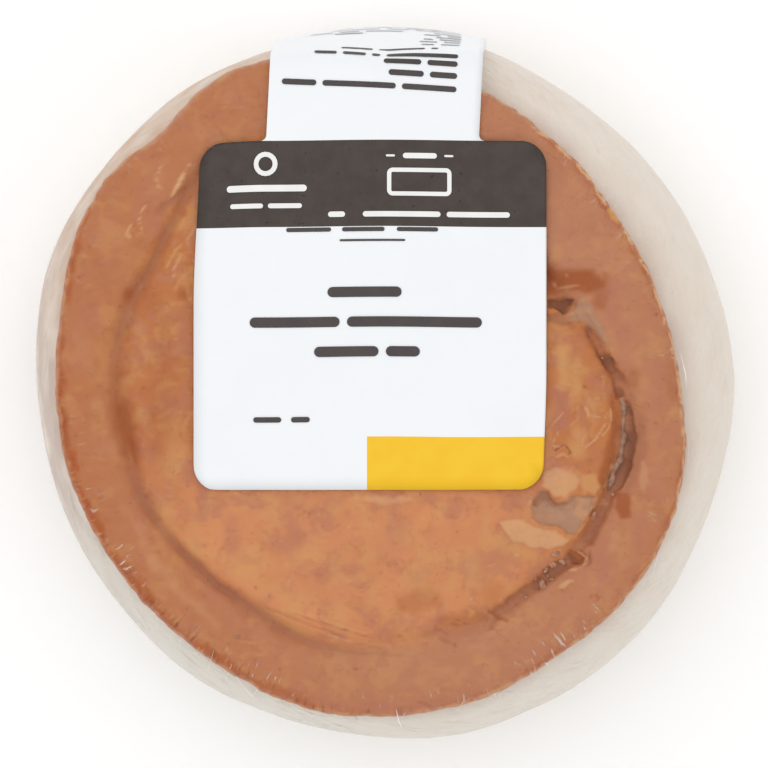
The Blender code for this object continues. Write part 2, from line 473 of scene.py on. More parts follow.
CREVICE_MARKS = (
    # the rim's wall, with painted shade darkest beside the thread
    Mark(VALLEY, 0.60, (
        (39.0, 2.0, 2.0), (41.0, -1.6, 3.2), (42.0, -5.0, 3.4), (42.0, -9.0, 3.8), (41.2, -13.0, 4.0),
        (39.8, -16.4, 3.6),
    ), -0.2, 2.0, 0.7),
    Mark(SHADE, 0.85, (
        (39.6, -2.0, 1.2), (40.2, -4.6, 2.4), (40.4, -7.4, 3.0), (40.0, -10.6, 3.2), (39.2, -13.4, 2.8),
        (38.4, -16.0, 1.4),
    ), -0.8, 1.3, 0.5),
    # the lid's edge, deep orange where it turns down
    Mark(BURNT, 0.70, (
        (37.6, -0.6, 1.2), (37.9, -4.0, 1.8), (37.8, -8.0, 2.4), (36.8, -12.0, 2.8), (35.6, -15.0, 2.2),
    ), 0.0, 1.0, 0.5),
    # the purple-brown painted shade of the crevice below the thread
    Mark(VALLEY, 0.80, (
        (39.2, -12.4, 2.4), (38.0, -15.2, 3.0), (36.6, -18.4, 2.8), (35.2, -21.2, 2.8), (33.6, -24.4, 3.0),
    ), -0.45, 1.5, 0.6),
    Mark(SHADE, 0.50, (
        (38.0, -13.2, 1.0), (36.8, -16.0, 1.2), (35.4, -18.8, 0.9), (34.0, -21.6, 0.7),
    ), -0.3, 0.7, 0.3),
    Mark(SHADE, 0.60, (
        (38.4, -9.6, 0.4), (37.0, -13.9, 0.7), (35.5, -17.8, 0.5), (34.3, -20.1, 0.6), (33.4, -22.2, 0.3),
    ), -0.3, 0.5, 0.25),
    light(0.50, 0.7, (37.6, -12.6), (37.9, -13.4)), light(0.50, 0.6, (37.2, -15.0), (36.6, -16.0)),
    light(0.45, 0.5, (34.6, -21.0), (34.0, -21.6)),
    light(0.40, 0.4, (36.0, -17.2), (36.4, -18.6), (35.8, -19.4)),
    # the rosy patches on the rim beside it
    Patch(BURNT, 0.85, (
        (37.9, -16.6), (40.5, -16.4), (41.0, -18.6), (40.9, -21.2), (38.6, -21.5), (37.7, -19.4),
    ), 0.0, 0.7, 0.4),
    Patch(CREAM, 0.32, (
        (41.6, -11.4), (43.4, -11.0), (44.0, -14.8), (43.0, -17.8), (41.8, -16.0),
    ), 0.08, 0.7, 0.4),
    Patch(CREAM, 0.22, ((37.0, -22.6), (39.4, -22.4), (38.6, -26.4), (36.4, -27.4)), 0.0, 1.0, 0.5),
)

RECESS_MARKS = (
    # layers that hang over the recess's upper edge
    Patch(CREAM, 0.62, (
        (25.9, -13.4), (28.6, -12.4), (31.2, -12.6), (32.2, -15.2), (31.6, -16.6), (30.0, -18.0),
        (28.2, -18.0), (27.0, -16.6), (25.7, -15.8),
    ), 0.10, 0.6, 1.1),
    Patch(GOLD, 0.70, (
        (31.6, -13.0), (34.4, -13.8), (35.6, -16.0), (34.8, -17.6), (32.2, -17.2),
    ), 0.10, 0.6, 1.0),
    # the recess where the lid's top layer is gone
    Patch(FLESH, 0.95, (
        (23.9, -19.4), (24.5, -17.8), (25.6, -16.3), (27.1, -16.1), (27.7, -17.1), (28.5, -18.1),
        (30.0, -18.0), (31.3, -16.6), (32.4, -17.1), (35.2, -17.4), (34.4, -20.0), (33.2, -21.9),
        (31.6, -24.4), (29.9, -24.0), (28.4, -22.8), (26.8, -22.6), (25.4, -22.0), (24.5, -21.0),
    ), -0.55, 0.28, 0.85),
    Patch(SHADE, 0.40, (
        (24.2, -18.8), (25.6, -16.6), (27.2, -16.4), (28.6, -18.4), (30.2, -18.2), (31.4, -17.0),
        (31.4, -18.4), (29.8, -19.2), (28.0, -19.6), (26.4, -18.4), (25.2, -19.6),
    ), -0.1, 0.5, 0.4),
    Mark(SHADE, 0.25, ((26.6, -22.2, 0.3), (28.6, -22.4, 0.5), (30.2, -23.6, 0.4)), 0.0, 0.4, 0.2),
    Mark(ROSY, 0.45, ((25.4, -20.8, 1.8), (27.6, -21.2, 2.0)), 0.0, 1.0, 0.6),
    Patch(CREAM, 0.45, (
        (31.4, -17.2), (34.8, -17.8), (34.1, -20.2), (32.6, -22.6), (31.0, -20.4),
    ), 0.16, 0.5, 0.5),
    Mark(CREAM, 0.50, (
        (34.9, -17.9, 0.3), (34.2, -20.0, 0.4), (33.0, -22.2, 0.4), (31.9, -24.0, 0.3),
    ), 0.12, 0.3, 0.15),
    Mark(CREAM, 0.40, ((25.2, -17.6, 0.2), (25.8, -18.8, 0.35), (25.2, -20.0, 0.2)), 0.10, 0.2, 0.1),
    # the leaf that ends at its lower edge
    Patch(CREAM, 0.62, (
        (18.8, -21.6), (22.4, -20.8), (24.6, -21.8), (26.6, -22.9), (28.4, -22.9), (31.2, -24.7),
        (30.3, -25.9), (26.4, -26.2), (21.0, -25.4),
    ), 0.30, 0.45, 0.9),
    Mark(GOLD, 0.50, ((17.0, -24.4, 5.0), (24.4, -27.2, 4.4)), 0.0, 2.4, 0.8),
    # light strokes on the lid's torn edge
    Mark(CREAM, 0.40, ((22.6, -16.9, 0.2), (24.6, -17.8, 0.5), (23.6, -19.0, 0.3)), 0.08, 0.3, 0.15),
    Mark(BURNT, 0.35, ((20.4, -18.4, 0.8), (22.8, -19.6, 1.2)), 0.0, 0.8, 0.4),
)

PIT_MARKS = (
    # the red pit with its ring
    Mark(VALLEY, 0.55, ((33.0, -25.0, 2.8), (31.6, -27.6, 4.6), (29.0, -29.4, 3.2)), -0.2, 1.6, 0.7),
    Patch(BURNT, 0.90, (
        (29.8, -28.4), (30.6, -26.2), (31.8, -25.8), (33.2, -27.0), (33.0, -28.8), (31.0, -29.2),
    ), -0.45, 0.5, 0.4),
    Mark(SHADE, 0.65, ((30.6, -27.0, 0.5), (31.0, -28.2, 0.9), (31.9, -27.5, 0.7)), -0.5, 0.4, 0.3),
    Mark(SHADE, 0.45, ((33.8, -26.2, 0.4), (33.9, -28.4, 0.6), (32.8, -29.4, 0.4)), -0.3, 0.4, 0.25),
    Mark(CREAM, 0.80, (
        (30.6, -26.0, 0.25), (32.2, -26.6, 0.4), (33.2, -27.7, 0.4), (32.7, -29.0, 0.3),
        (31.0, -29.4, 0.3),
    ), 0.20, 0.2, 0.12),
    Mark(BURNT, 0.45, ((33.6, -26.6, 0.6), (33.9, -28.8, 0.6)), -0.15, 0.5, 0.25),
    # rosy flakes under it
    Patch(CREAM, 0.60, (
        (29.8, -29.3), (31.0, -28.9), (32.4, -29.2), (31.6, -30.0), (30.2, -29.9),
    ), 0.20, 0.3, 0.2),
    Patch(CREAM, 0.60, (
        (28.3, -32.8), (29.4, -31.4), (30.6, -30.9), (31.6, -31.4), (30.4, -32.0), (29.4, -32.8),
    ), 0.20, 0.35, 0.25),
    Mark(ROSY, 0.70, ((29.0, -30.4, 1.2), (31.4, -30.6, 1.4)), 0.0, 0.9, 0.4),
    Mark(CREAM, 0.45, (
        (27.8, -26.6, 0.3), (28.9, -26.3, 0.4), (29.6, -27.4, 0.35), (29.0, -28.6, 0.3),
    ), 0.15, 0.25, 0.1),
    # painted shade in the groove that runs on below it
    Mark(VALLEY, 0.80, (
        (30.0, -28.6, 2.4), (27.8, -30.0, 3.2), (25.6, -31.6, 2.8), (23.0, -33.2, 2.4), (21.2, -34.6, 2.4),
        (18.8, -36.2, 2.6), (17.6, -38.6, 1.8),
    ), -0.35, 1.3, 0.6),
    Mark(SHADE, 0.70, (
        (28.0, -29.6, 0.5), (26.9, -30.2, 0.9), (26.5, -31.2, 0.5), (25.2, -32.4, 0.9), (24.2, -32.8, 0.4),
    ), -0.3, 0.5, 0.35),
    Mark(SHADE, 0.45, ((23.6, -33.6, 0.9), (22.4, -33.4, 0.5)), -0.2, 0.5, 0.3),
    Mark(SHADE, 0.75, ((20.6, -34.8, 0.6), (20.3, -35.3, 0.5)), -0.3, 0.3, 0.15),
    Mark(GOLD, 0.45, ((20.9, -34.2, 0.2), (21.3, -35.0, 0.4)), 0.1, 0.2, 0.1),
    Mark(BURNT, 0.60, ((16.8, -36.4, 0.6), (18.6, -37.2, 1.4), (20.0, -37.8, 1.0)), -0.2, 0.6, 0.35),
    Mark(CREAM, 0.40, ((16.2, -36.3, 0.25), (18.0, -37.5, 0.35), (20.2, -38.4, 0.2)), 0.12, 0.2, 0.1),
    Mark(BURNT, 0.35, ((18.8, -40.0, 0.3), (20.8, -41.6, 0.6)), -0.1, 0.3, 0.1),
    Mark(BURNT, 0.40, ((17.2, -38.8, 0.4), (18.8, -39.8, 0.4)), -0.1, 0.3, 0.1),
    Mark(BURNT, 0.70, ((11.6, -37.3, 1.0), (12.4, -37.9, 1.2)), -0.1, 0.7, 0.35),
    Mark(GOLD, 0.65, ((13.6, -35.8, 0.8), (14.6, -36.6, 1.4), (14.0, -37.4, 0.8)), 0.1, 0.5, 0.25),
    Mark(SHADE, 0.50, ((13.3, -38.4, 0.6), (13.7, -38.7, 0.4)), -0.15, 0.3, 0.15),
    Mark(SHADE, 0.45, ((8.2, -39.4, 0.6), (9.4, -39.6, 0.8), (10.4, -40.2, 0.6)), -0.15, 0.5, 0.25),
    Mark(BURNT, 0.45, ((9.4, -40.9, 1.2), (11.6, -41.9, 1.2)), -0.1, 0.9, 0.4),
)

CUT_MARKS = (
    # the small cut beside the label
    Mark(SHADE, 0.55, (
        (28.2, -9.9, 0.25), (29.6, -9.0, 0.3), (30.0, -9.2, 0.35), (30.6, -10.2, 0.4), (30.6, -10.9, 0.2),
    ), -0.4, 0.2, 0.1),
    Mark(SHADE, 0.40, ((28.3, -9.9, 0.3), (28.2, -10.7, 0.25)), -0.3, 0.2, 0.1),
    Mark(CREAM, 0.55, ((28.5, -11.0, 0.7), (29.5, -10.5, 0.8), (30.3, -11.1, 0.6)), 0.1, 0.4, 0.15),
)

BROWNED = (
    Mark(BURNT, 0.92, (
        (26.6, 17.8, 6.6), (30.0, 18.4, 5.4), (33.6, 17.8, 6.6), (36.0, 17.4, 5.0),
    ), 0.0, 2.2, 1.2),
    dab(GOLD, 0.40, 28.4, 22.6, 3.4),
    Mark(BURNT, 0.50, ((36.6, 18.6, 2.6), (35.6, 14.4, 3.8)), 0.0, 1.2, 0.6),
    Mark(BURNT, 0.38, ((3.4, -35.4, 5.0), (7.6, -34.4, 5.4)), 0.0, 2.2, 1.4),
    Mark(BURNT, 0.45, ((9.6, -38.0, 3.8), (16.6, -37.4, 4.4)), 0.0, 2.0, 1.4),
    dab(BURNT, 0.30, 17.6, -33.4, 6.5),
    Mark(CREAM, 0.45, (
        (27.6, 17.6, 0.3), (28.8, 16.7, 0.5), (31.6, 17.2, 0.4), (33.4, 16.8, 0.2),
    ), 0.08, 0.3, 0.2),
    Mark(CREAM, 0.35, ((28.8, 19.4, 0.2), (30.6, 18.6, 0.4), (31.4, 17.4, 0.2)), 0.08, 0.25, 0.15),
    dab(BURNT, 0.70, -33.0, 15.7, 3.6), dab(BURNT, 0.85, -42.0, 15.6, 4.6),
    dab(BURNT, 0.35, -38.0, 14.6, 6.0, 1),
    Mark(CREAM, 0.22, (
        (-42.6, -19.0, 2.4), (-38.6, -27.0, 3.6), (-33.4, -33.6, 3.2), (-27.4, -38.6, 2.4),
    ), 0.0, 2.0, 0.8),
    Mark(BURNT, 0.65, (
        (-43.8, 6.0, 2.6), (-43.9, 0.6, 4.6), (-43.0, -4.6, 6.4), (-41.6, -9.4, 6.2), (-40.6, -13.6, 3.0),
    ), 0.0, 2.6, 1.0),
    Mark(BURNT, 0.95, (
        (-44.0, 2.6, 1.8), (-43.4, -2.6, 2.6), (-42.2, -7.6, 3.4), (-41.0, -12.0, 2.0),
    ), -0.2, 1.5, 0.7),
    Mark(SHADE, 0.30, ((-43.0, -2.6, 0.6), (-42.0, -7.0, 0.9), (-41.2, -11.6, 0.6)), -0.15, 0.6, 0.3),
    dab(BURNT, 0.25, -36.5, 0.0, 7.0, 12), dab(BURNT, 0.30, 4.6, -35.9, 3.0),
    dab(BURNT, 0.30, -37.4, -6.0, 6.0, 6), dab(BURNT, 0.35, 41.0, 1.8, 3.4, 2),
    dab(BURNT, 0.25, 42.2, -10.0, 3.6, 10), dab(GOLD, 0.30, -12.0, -27.0, 5.0),
    dab(BURNT, 0.45, -53.0, -6.0, 3.2, 5), dab(BURNT, 0.30, -36.0, 8.0, 3.0, 8),
    dab(BURNT, 0.25, 47.5, 3.0, 3.0, 7),
)

ROSY_PATCHES = tuple(dab(ROSY, *spot) for spot in (
    (0.85, 29.0, -3.0, 4.2, 5), (0.45, -25.0, -23.6, 4.5, 5), (0.35, -10.0, -31.0, 4.0),
    (0.60, 37.6, 14.0, 4.4, 6), (0.50, 39.6, 7.4, 4.6, 5), (0.40, 44.5, 1.5, 5.0, 4),
    (0.50, 35.8, -29.4, 5.6, 3), (0.40, 41.5, -24.5, 5.0, 4), (0.35, 2.0, -24.0, 9.0),
    (0.35, 31.0, 29.0, 8.0, 4), (0.30, -50.0, 8.0, 6.0, 8), (0.30, 8.0, -52.0, 9.0),
    (0.30, 22.0, -19.0, 4.0, 2), (0.35, -38.0, 29.0, 5.0, 5), (0.40, -14.0, -24.0, 5.0),
    (0.35, 18.0, -43.0, 6.0), (0.40, -30.0, -18.0, 3.0, 5), (0.35, 27.6, -11.4, 2.0, 5),
))

GOLDEN_PATCHES = tuple(dab(GOLD, *spot) for spot in (
    (0.80, 29.4, 3.6, 4.4, 5), (0.55, 31.6, 2.0, 3.4, 5), (0.60, 32.0, -8.6, 4.4, 3),
    (0.30, 34.5, -1.5, 5.0), (0.45, -23.8, -29.2, 6.0, 1), (0.35, -36.0, -21.0, 4.6, 4),
    (0.35, -7.5, -37.4, 6.5), (0.45, 14.0, -27.5, 8.0), (0.30, -34.6, -10.0, 6.0, 5),
    (0.30, -16.0, -35.0, 6.0), (0.35, 7.0, -33.0, 5.0), (0.30, -31.0, -24.0, 4.0, 3),
))

FLAKED_LINES = (
    # painted highlights of the film just in front of the label's front edge
    Mark(CREAM, 0.45, ((-4.5, -17.6, 1.2), (0.0, -18.2, 1.8), (4.2, -17.8, 1.4)), 0.12, 0.8, 0.5),
    # fallen layers beside the label's upper left
    Mark(CREAM, 0.95, (
        (-32.0, 37.2, 0.6), (-33.2, 35.0, 1.1), (-34.2, 33.2, 1.1), (-35.2, 31.0, 0.3),
    ), 0.20, 0.5, 0.3),
    Mark(CREAM, 0.70, ((-36.6, 36.2, 0.4), (-37.2, 34.4, 0.6), (-36.4, 32.4, 0.4)), 0.10, 0.4, 0.2),
    Mark(CREAM, 0.85, ((-39.2, 30.4, 0.4), (-40.2, 28.4, 0.5), (-39.9, 26.0, 0.3)), 0.10, 0.25, 0.12),
    Mark(CREAM, 0.60, ((-41.4, 27.4, 0.4), (-42.2, 25.8, 0.5)), 0.08, 0.25, 0.12),
    Mark(SHADE, 0.45, (
        (-31.9, 33.7, 0.4), (-34.1, 30.6, 0.5), (-35.9, 26.2, 0.3), (-38.9, 19.6, 0.4), (-41.4, 15.8, 0.5),
    ), 0.0, 0.3, 0.15),
    Mark(VALLEY, 0.55, (
        (-31.8, 34.4, 1.4), (-33.6, 31.8, 2.0), (-36.2, 30.4, 2.4), (-37.4, 29.0, 1.6),
    ), -0.25, 1.0, 0.5),
    Mark(ROSY, 0.40, ((-37.4, 36.4, 2.4), (-39.6, 33.0, 3.4), (-41.0, 28.6, 3.0)), 0.0, 1.6, 0.8),
    Mark(GOLD, 0.75, (
        (-32.6, 24.4, 0.5), (-34.6, 22.8, 0.8), (-35.7, 20.4, 0.6), (-35.8, 18.4, 0.2),
    ), 0.08, 0.35, 0.2),
    Mark(GOLD, 0.70, ((-31.9, 19.8, 0.4), (-33.8, 17.8, 0.8), (-34.6, 15.9, 0.4)), 0.08, 0.35, 0.2),
    Mark(GOLD, 0.55, ((-32.2, 29.8, 0.5), (-33.6, 26.6, 0.7), (-34.6, 24.2, 0.3)), 0.05, 0.35, 0.2),
    light(0.65, 0.45, (-33.2, 22.2), (-34.4, 20.6), (-34.7, 18.6)),
    light(0.75, 0.45, (-39.3, 30.6), (-40.3, 28.4), (-39.9, 26.2)),
    light(0.60, 0.40, (-41.6, 27.2), (-42.6, 25.6), (-41.8, 25.2)),
    light(0.55, 0.45, (-36.6, 37.0), (-37.6, 35.0), (-37.0, 33.0)),
    light(0.50, 0.40, (-30.4, 27.6), (-32.4, 25.0), (-31.8, 22.6)),
    light(0.50, 0.40, (-31.0, 17.8), (-32.0, 15.2), (-30.8, 13.6)),
    # flaked lines on the right of the lid
    light(0.60, 0.45, (36.4, -5.6), (35.8, -6.6), (34.7, -8.2), (33.0, -9.6)),
    light(0.55, 0.35, (35.8, -3.2), (36.6, -3.6), (36.4, -4.6)),
    light(0.60, 0.60, (33.2, -2.9), (33.7, -4.2)),
    light(0.45, 0.45, (29.4, -3.8), (28.2, -5.2), (27.4, -6.2)),
    light(0.45, 0.40, (34.6, -1.4), (36.2, -1.3)),
    light(0.55, 0.35, (34.9, -1.3), (34.2, -2.5), (34.4, -4.2), (35.8, -4.6)),
    light(0.55, 0.40, (37.0, -2.5), (37.5, -4.2), (37.2, -6.0), (35.9, -7.7)),
    light(0.40, 0.40, (31.9, -2.5), (32.1, -4.6), (30.7, -5.8)),
    light(0.45, 0.40, (28.6, -7.0), (27.6, -9.1), (29.3, -9.5)),
    light(0.45, 0.40, (32.5, -9.1), (33.1, -7.4), (32.8, -6.0)),
    light(0.40, 0.30, (30.0, 1.6), (30.9, 0.4), (30.6, -0.8)),
    light(0.35, 0.35, (26.6, -4.6), (27.0, -7.4)),
    Mark(CREAM, 0.30, ((28.2, 0.7, 0.5), (29.4, -0.1, 0.6)), 0.05, 0.3, 0.15),
    # the further lines of the crease at the front, in painted shade
    Mark(VALLEY, 0.70, (
        (-20.6, -35.4, 0.6), (-16.0, -37.2, 1.0), (-10.0, -39.4, 0.9), (-4.4, -41.6, 0.9),
        (0.4, -43.0, 0.7),
    ), -0.25, 0.7, 0.25),
    Mark(VALLEY, 0.55, (
        (-18.0, -38.6, 0.8), (-12.6, -41.6, 1.2), (-6.0, -43.0, 1.2), (2.0, -43.6, 1.0), (6.0, -43.4, 0.6),
    ), -0.20, 0.9, 0.3),
    Mark(VALLEY, 0.60, ((-14.4, -37.0, 0.4), (-8.0, -39.0, 0.6), (-1.4, -41.0, 0.5)), -0.15, 0.4, 0.15),
    light(0.30, 0.5, (-15.0, -36.2), (-8.8, -38.2), (-3.0, -40.2)),
    light(0.25, 0.5, (-12.0, -39.4), (-5.4, -41.4), (1.0, -42.2)),
    Mark(ROSY, 0.70, (
        (-22.0, -49.0, 2.4), (-8.0, -52.0, 3.0), (3.0, -52.4, 3.4), (16.0, -50.4, 2.4),
    ), 0.0, 2.0, 0.8),
    Mark(SHADE, 0.40, ((9.6, -39.2, 0.5), (11.4, -38.6, 0.9), (12.6, -38.8, 0.4)), -0.1, 0.4, 0.25),
    Mark(SHADE, 0.28, ((-21.4, -35.2, 0.3), (-18.8, -36.2, 0.7), (-16.4, -36.9, 0.3)), -0.10, 0.4, 0.15),
    Mark(VALLEY, 0.45, (
        (3.4, -41.6, 0.7), (7.0, -40.4, 1.3), (11.0, -39.6, 1.4), (15.0, -38.4, 1.2),
    ), -0.25, 0.9, 0.35),
)

LIP_MARKS = (
    # the golden blister on the lip, and the browned stretch beside the label
    Mark(GOLD, 0.95, ((37.2, 29.6, 1.2), (37.8, 28.8, 1.6), (38.5, 27.8, 1.2)), 0.40, 0.5, 0.15),
    Mark(BURNT, 0.60, ((27.2, 42.6, 1.0), (30.2, 39.2, 1.2)), 0.0, 0.6, 0.3),
    dab(ROSY, 0.60, -2.0, -51.6, 1.6, 3), dab(ROSY, 0.55, -14.0, -49.6, 1.4, 3),
    dab(ROSY, 0.50, 12.0, -50.0, 2.0, 1),
    Mark(CREAM, 0.45, ((20.2, 47.6, 0.8), (24.8, 44.4, 0.8)), 0.1, 0.4, 0.2),
    Mark(BURNT, 0.45, ((5.8, -51.6, 0.6), (7.2, -52.0, 0.5)), -0.15, 0.4, 0.2),
    # ring blisters at the front
    Mark(BURNT, 0.65, ((5.9, -51.5, 1.1), (6.9, -51.8, 0.9)), -0.12, 0.4, 0.2),
    Mark(GOLD, 0.60, ((5.9, -51.5, 0.4), (6.4, -51.7, 0.3)), 0.15, 0.15, 0.1),
    # whiskers of film that cross the lip, painted as pale streaks of highlight
    Mark(CREAM, 0.80, ((24.7, -45.0, 0.15), (24.6, -48.0, 0.25)), 0.1, 0.12, 0.05),
)

MARKS = (
    *LIP_MARKS, *BROWNED, *ROSY_PATCHES, *GOLDEN_PATCHES, *FLAKED_LINES, *HOLLOW_MARKS, *CREVICE_MARKS,
    *RECESS_MARKS, *PIT_MARKS, *CUT_MARKS,
)  # each lies over those before it


@dataclass(frozen=True)
class GlazedTop:
    """The top's height: a low dome with a soft crease between rim and lid, marked and torn."""

    crease_depth: Around = Around({
        -168: 1.0, -150: 1.2, -120: 1.3, -98: 0.7, -80: 0.6, -60: 1.0, -30: 1.4, -8: 1.5, 8: 1.3, 25: 1.0,
        60: 0.8, 90: 0.3, 110: 0.1, 127: 0.2, 134: 0.9, 150: 0.9, 164: 1.3, 178: 0.9,
    })
    crease_width: Around = Around({
        -168: 1.5, -150: 1.0, -130: 0.9, -98: 2.0, -60: 1.5, -30: 1.2, -8: 1.3, 15: 1.3, 60: 2.0, 135: 1.2,
        150: 1.0, 164: 1.4, 178: 2.6,
    })
    # how much painted shade the crease takes round the pie
    crease_shade: Around = Around({
        -172: 0.5, -150: 0.75, -133: 1.0, -118: 0.9, -108: 0.5, -95: 0.25, -82: 0.2, -60: 0.5, -40: 0.5,
        -25: 0.2, 20: 0.2, 60: 0.3, 90: 0.0, 127: 0.1, 134: 0.6, 146: 0.6, 158: 0.8, 165: 0.7, 176: 0.3,
    })
    crease_wander: Around = Around({
        -170: -1.0, -158: 0.5, -148: 0.5, -134: -0.2, -121: -0.8, -107: 0.9, -97: 0.3, -83: -0.6, -63: 0.6,
        -54: -0.6, -42: 0.4, -22: -0.3, 0: 0.0, 20: 0.0, 60: 0.0, 125: 0.4, 134: -0.3, 140: -0.8,
        146: -2.0, 152: -1.4, 160: -0.6, 175: 0.5,
    })
    shadows: tuple[tuple[float, float], ...] = ((0.62, 0.9), (0.38, 0.28))  # share and reach: broad, thin

    def crease(self, bearing: Array, radius: Array) -> tuple[Array, Array]:
        """The soft crease.

        Args:
            bearing: round the pie.
            radius: from its axis.
        Returns:
            How far the surface drops, and how much painted shade it takes, 0 to 1.
        """
        line = FORM.crease.at(bearing) + self.crease_wander.at(bearing) * MM
        line += 0.25 * MM * Grain(7 * MM, 17, 2).at(placed(bearing, line, np.zeros_like(bearing)))
        along = placed(bearing, line, np.zeros_like(bearing))
        width = self.crease_width.at(bearing) * (1 + 0.35 * Grain(3 * MM, 18, 2).at(along)) * MM
        off = np.abs(radius - line) / width
        depth = self.crease_depth.at(bearing) * (1 + 0.3 * Grain(4 * MM, 19, 2).at(along)) * MM
        broad, thin = (share * np.exp(-((off / reach) ** 2)) for share, reach in self.shadows)
        return depth * np.exp(-(off**1.6)), self.crease_shade.at(bearing) * (broad + thin)

    def height(self, x: Array, y: Array) -> Array:
        """The top's height inside the rim's crest, for what lies on it, without its marks."""
        bearing, radius = np.arctan2(y, x), np.hypot(x, y)
        return FORM.dome(bearing, radius) - self.crease(bearing, radius)[0]


TOP = GlazedTop()


# ---------------------------------------------------------------- meshes


class Piece:
    """A mesh that is shaped from a cage and carries values for its materials."""

    def __init__(self, name: str, cage: bmesh.types.BMesh) -> None:
        """Turns the cage into an object's mesh and frees it."""
        mesh = bpy.data.meshes.new(name)
        cage.to_mesh(mesh)
        cage.free()
        self.mesh = mesh
        self.body = bpy.data.objects.new(name, mesh)
        bpy.context.scene.collection.objects.link(self.body)

    @property
    def points(self) -> Array:
        """The vertices, one row each."""
        flat = np.empty(len(self.mesh.vertices) * 3, np.float32)
        self.mesh.vertices.foreach_get("co", flat)
        return flat.reshape(-1, 3).astype(float)

    @points.setter
    def points(self, rows: Array) -> None:
        self.mesh.vertices.foreach_set("co", np.asarray(rows, np.float32).ravel())
        self.mesh.update()

    def raise_along_normals(self, heights: Array) -> None:
        """Moves each vertex out along its normal by its height."""
        flat = np.empty(len(self.mesh.vertices) * 3, np.float32)
        self.mesh.vertex_normals.foreach_get("vector", flat)
        self.points = self.points + flat.reshape(-1, 3) * np.asarray(heights)[:, None]

    def keep(self, name: str, values: Array) -> None:
        """Stores one value for each vertex, for the materials to read."""
        layer = self.mesh.attributes.new(name, "FLOAT", "POINT")
        layer.data.foreach_set("value", np.asarray(values, np.float32))

    def dress(self, slot: Slot, node: str, *materials: bpy.types.Material) -> bpy.types.Object:
        """Shades the piece smooth, gives it its materials and rides it on the part.

        Args:
            slot: a material slot; not used.
            node: the solid that it stands for.
            materials: what its faces' material indices name.
        Returns:
            The finished object.
        """
        self.mesh.shade_smooth()
        for material in materials:
            self.mesh.materials.append(material)
        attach(self.body, "root")
        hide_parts(node)
        self.mesh.calc_loop_triangles()
        LOG.info("%s: %d triangles", self.body.name, len(self.mesh.loop_triangles))
        return self.body


def joined(cages: Iterable[bmesh.types.BMesh]) -> bmesh.types.BMesh:
    """Several cages as one, which frees them."""
    whole = bmesh.new()
    for cage in cages:
        scrap = bpy.data.meshes.new("scrap")
        cage.to_mesh(scrap)
        cage.free()
        whole.from_mesh(scrap)
        bpy.data.meshes.remove(scrap)
    return whole


def globe(steps: int, rows: int) -> tuple[bmesh.types.BMesh, Array, Array]:
    """A sphere whose parallels become the rows of a turned form.

    Args:
        steps: faces round it.
        rows: faces from its lowest to its highest point.
    Returns:
        The cage, and each vertex's row and bearing.
    """
    cage = bmesh.new()
    bmesh.ops.create_uvsphere(cage, u_segments=steps, v_segments=rows, radius=1.0)
    bmesh.ops.recalc_face_normals(cage, faces=cage.faces)
    points = np.array([vert.co for vert in cage.verts])
    row = np.rint(np.arccos(np.clip(-points[:, 2], -1, 1)) / math.pi * rows)
    return cage, row, np.arctan2(points[:, 1], points[:, 0])


# ---------------------------------------------------------------- finishes


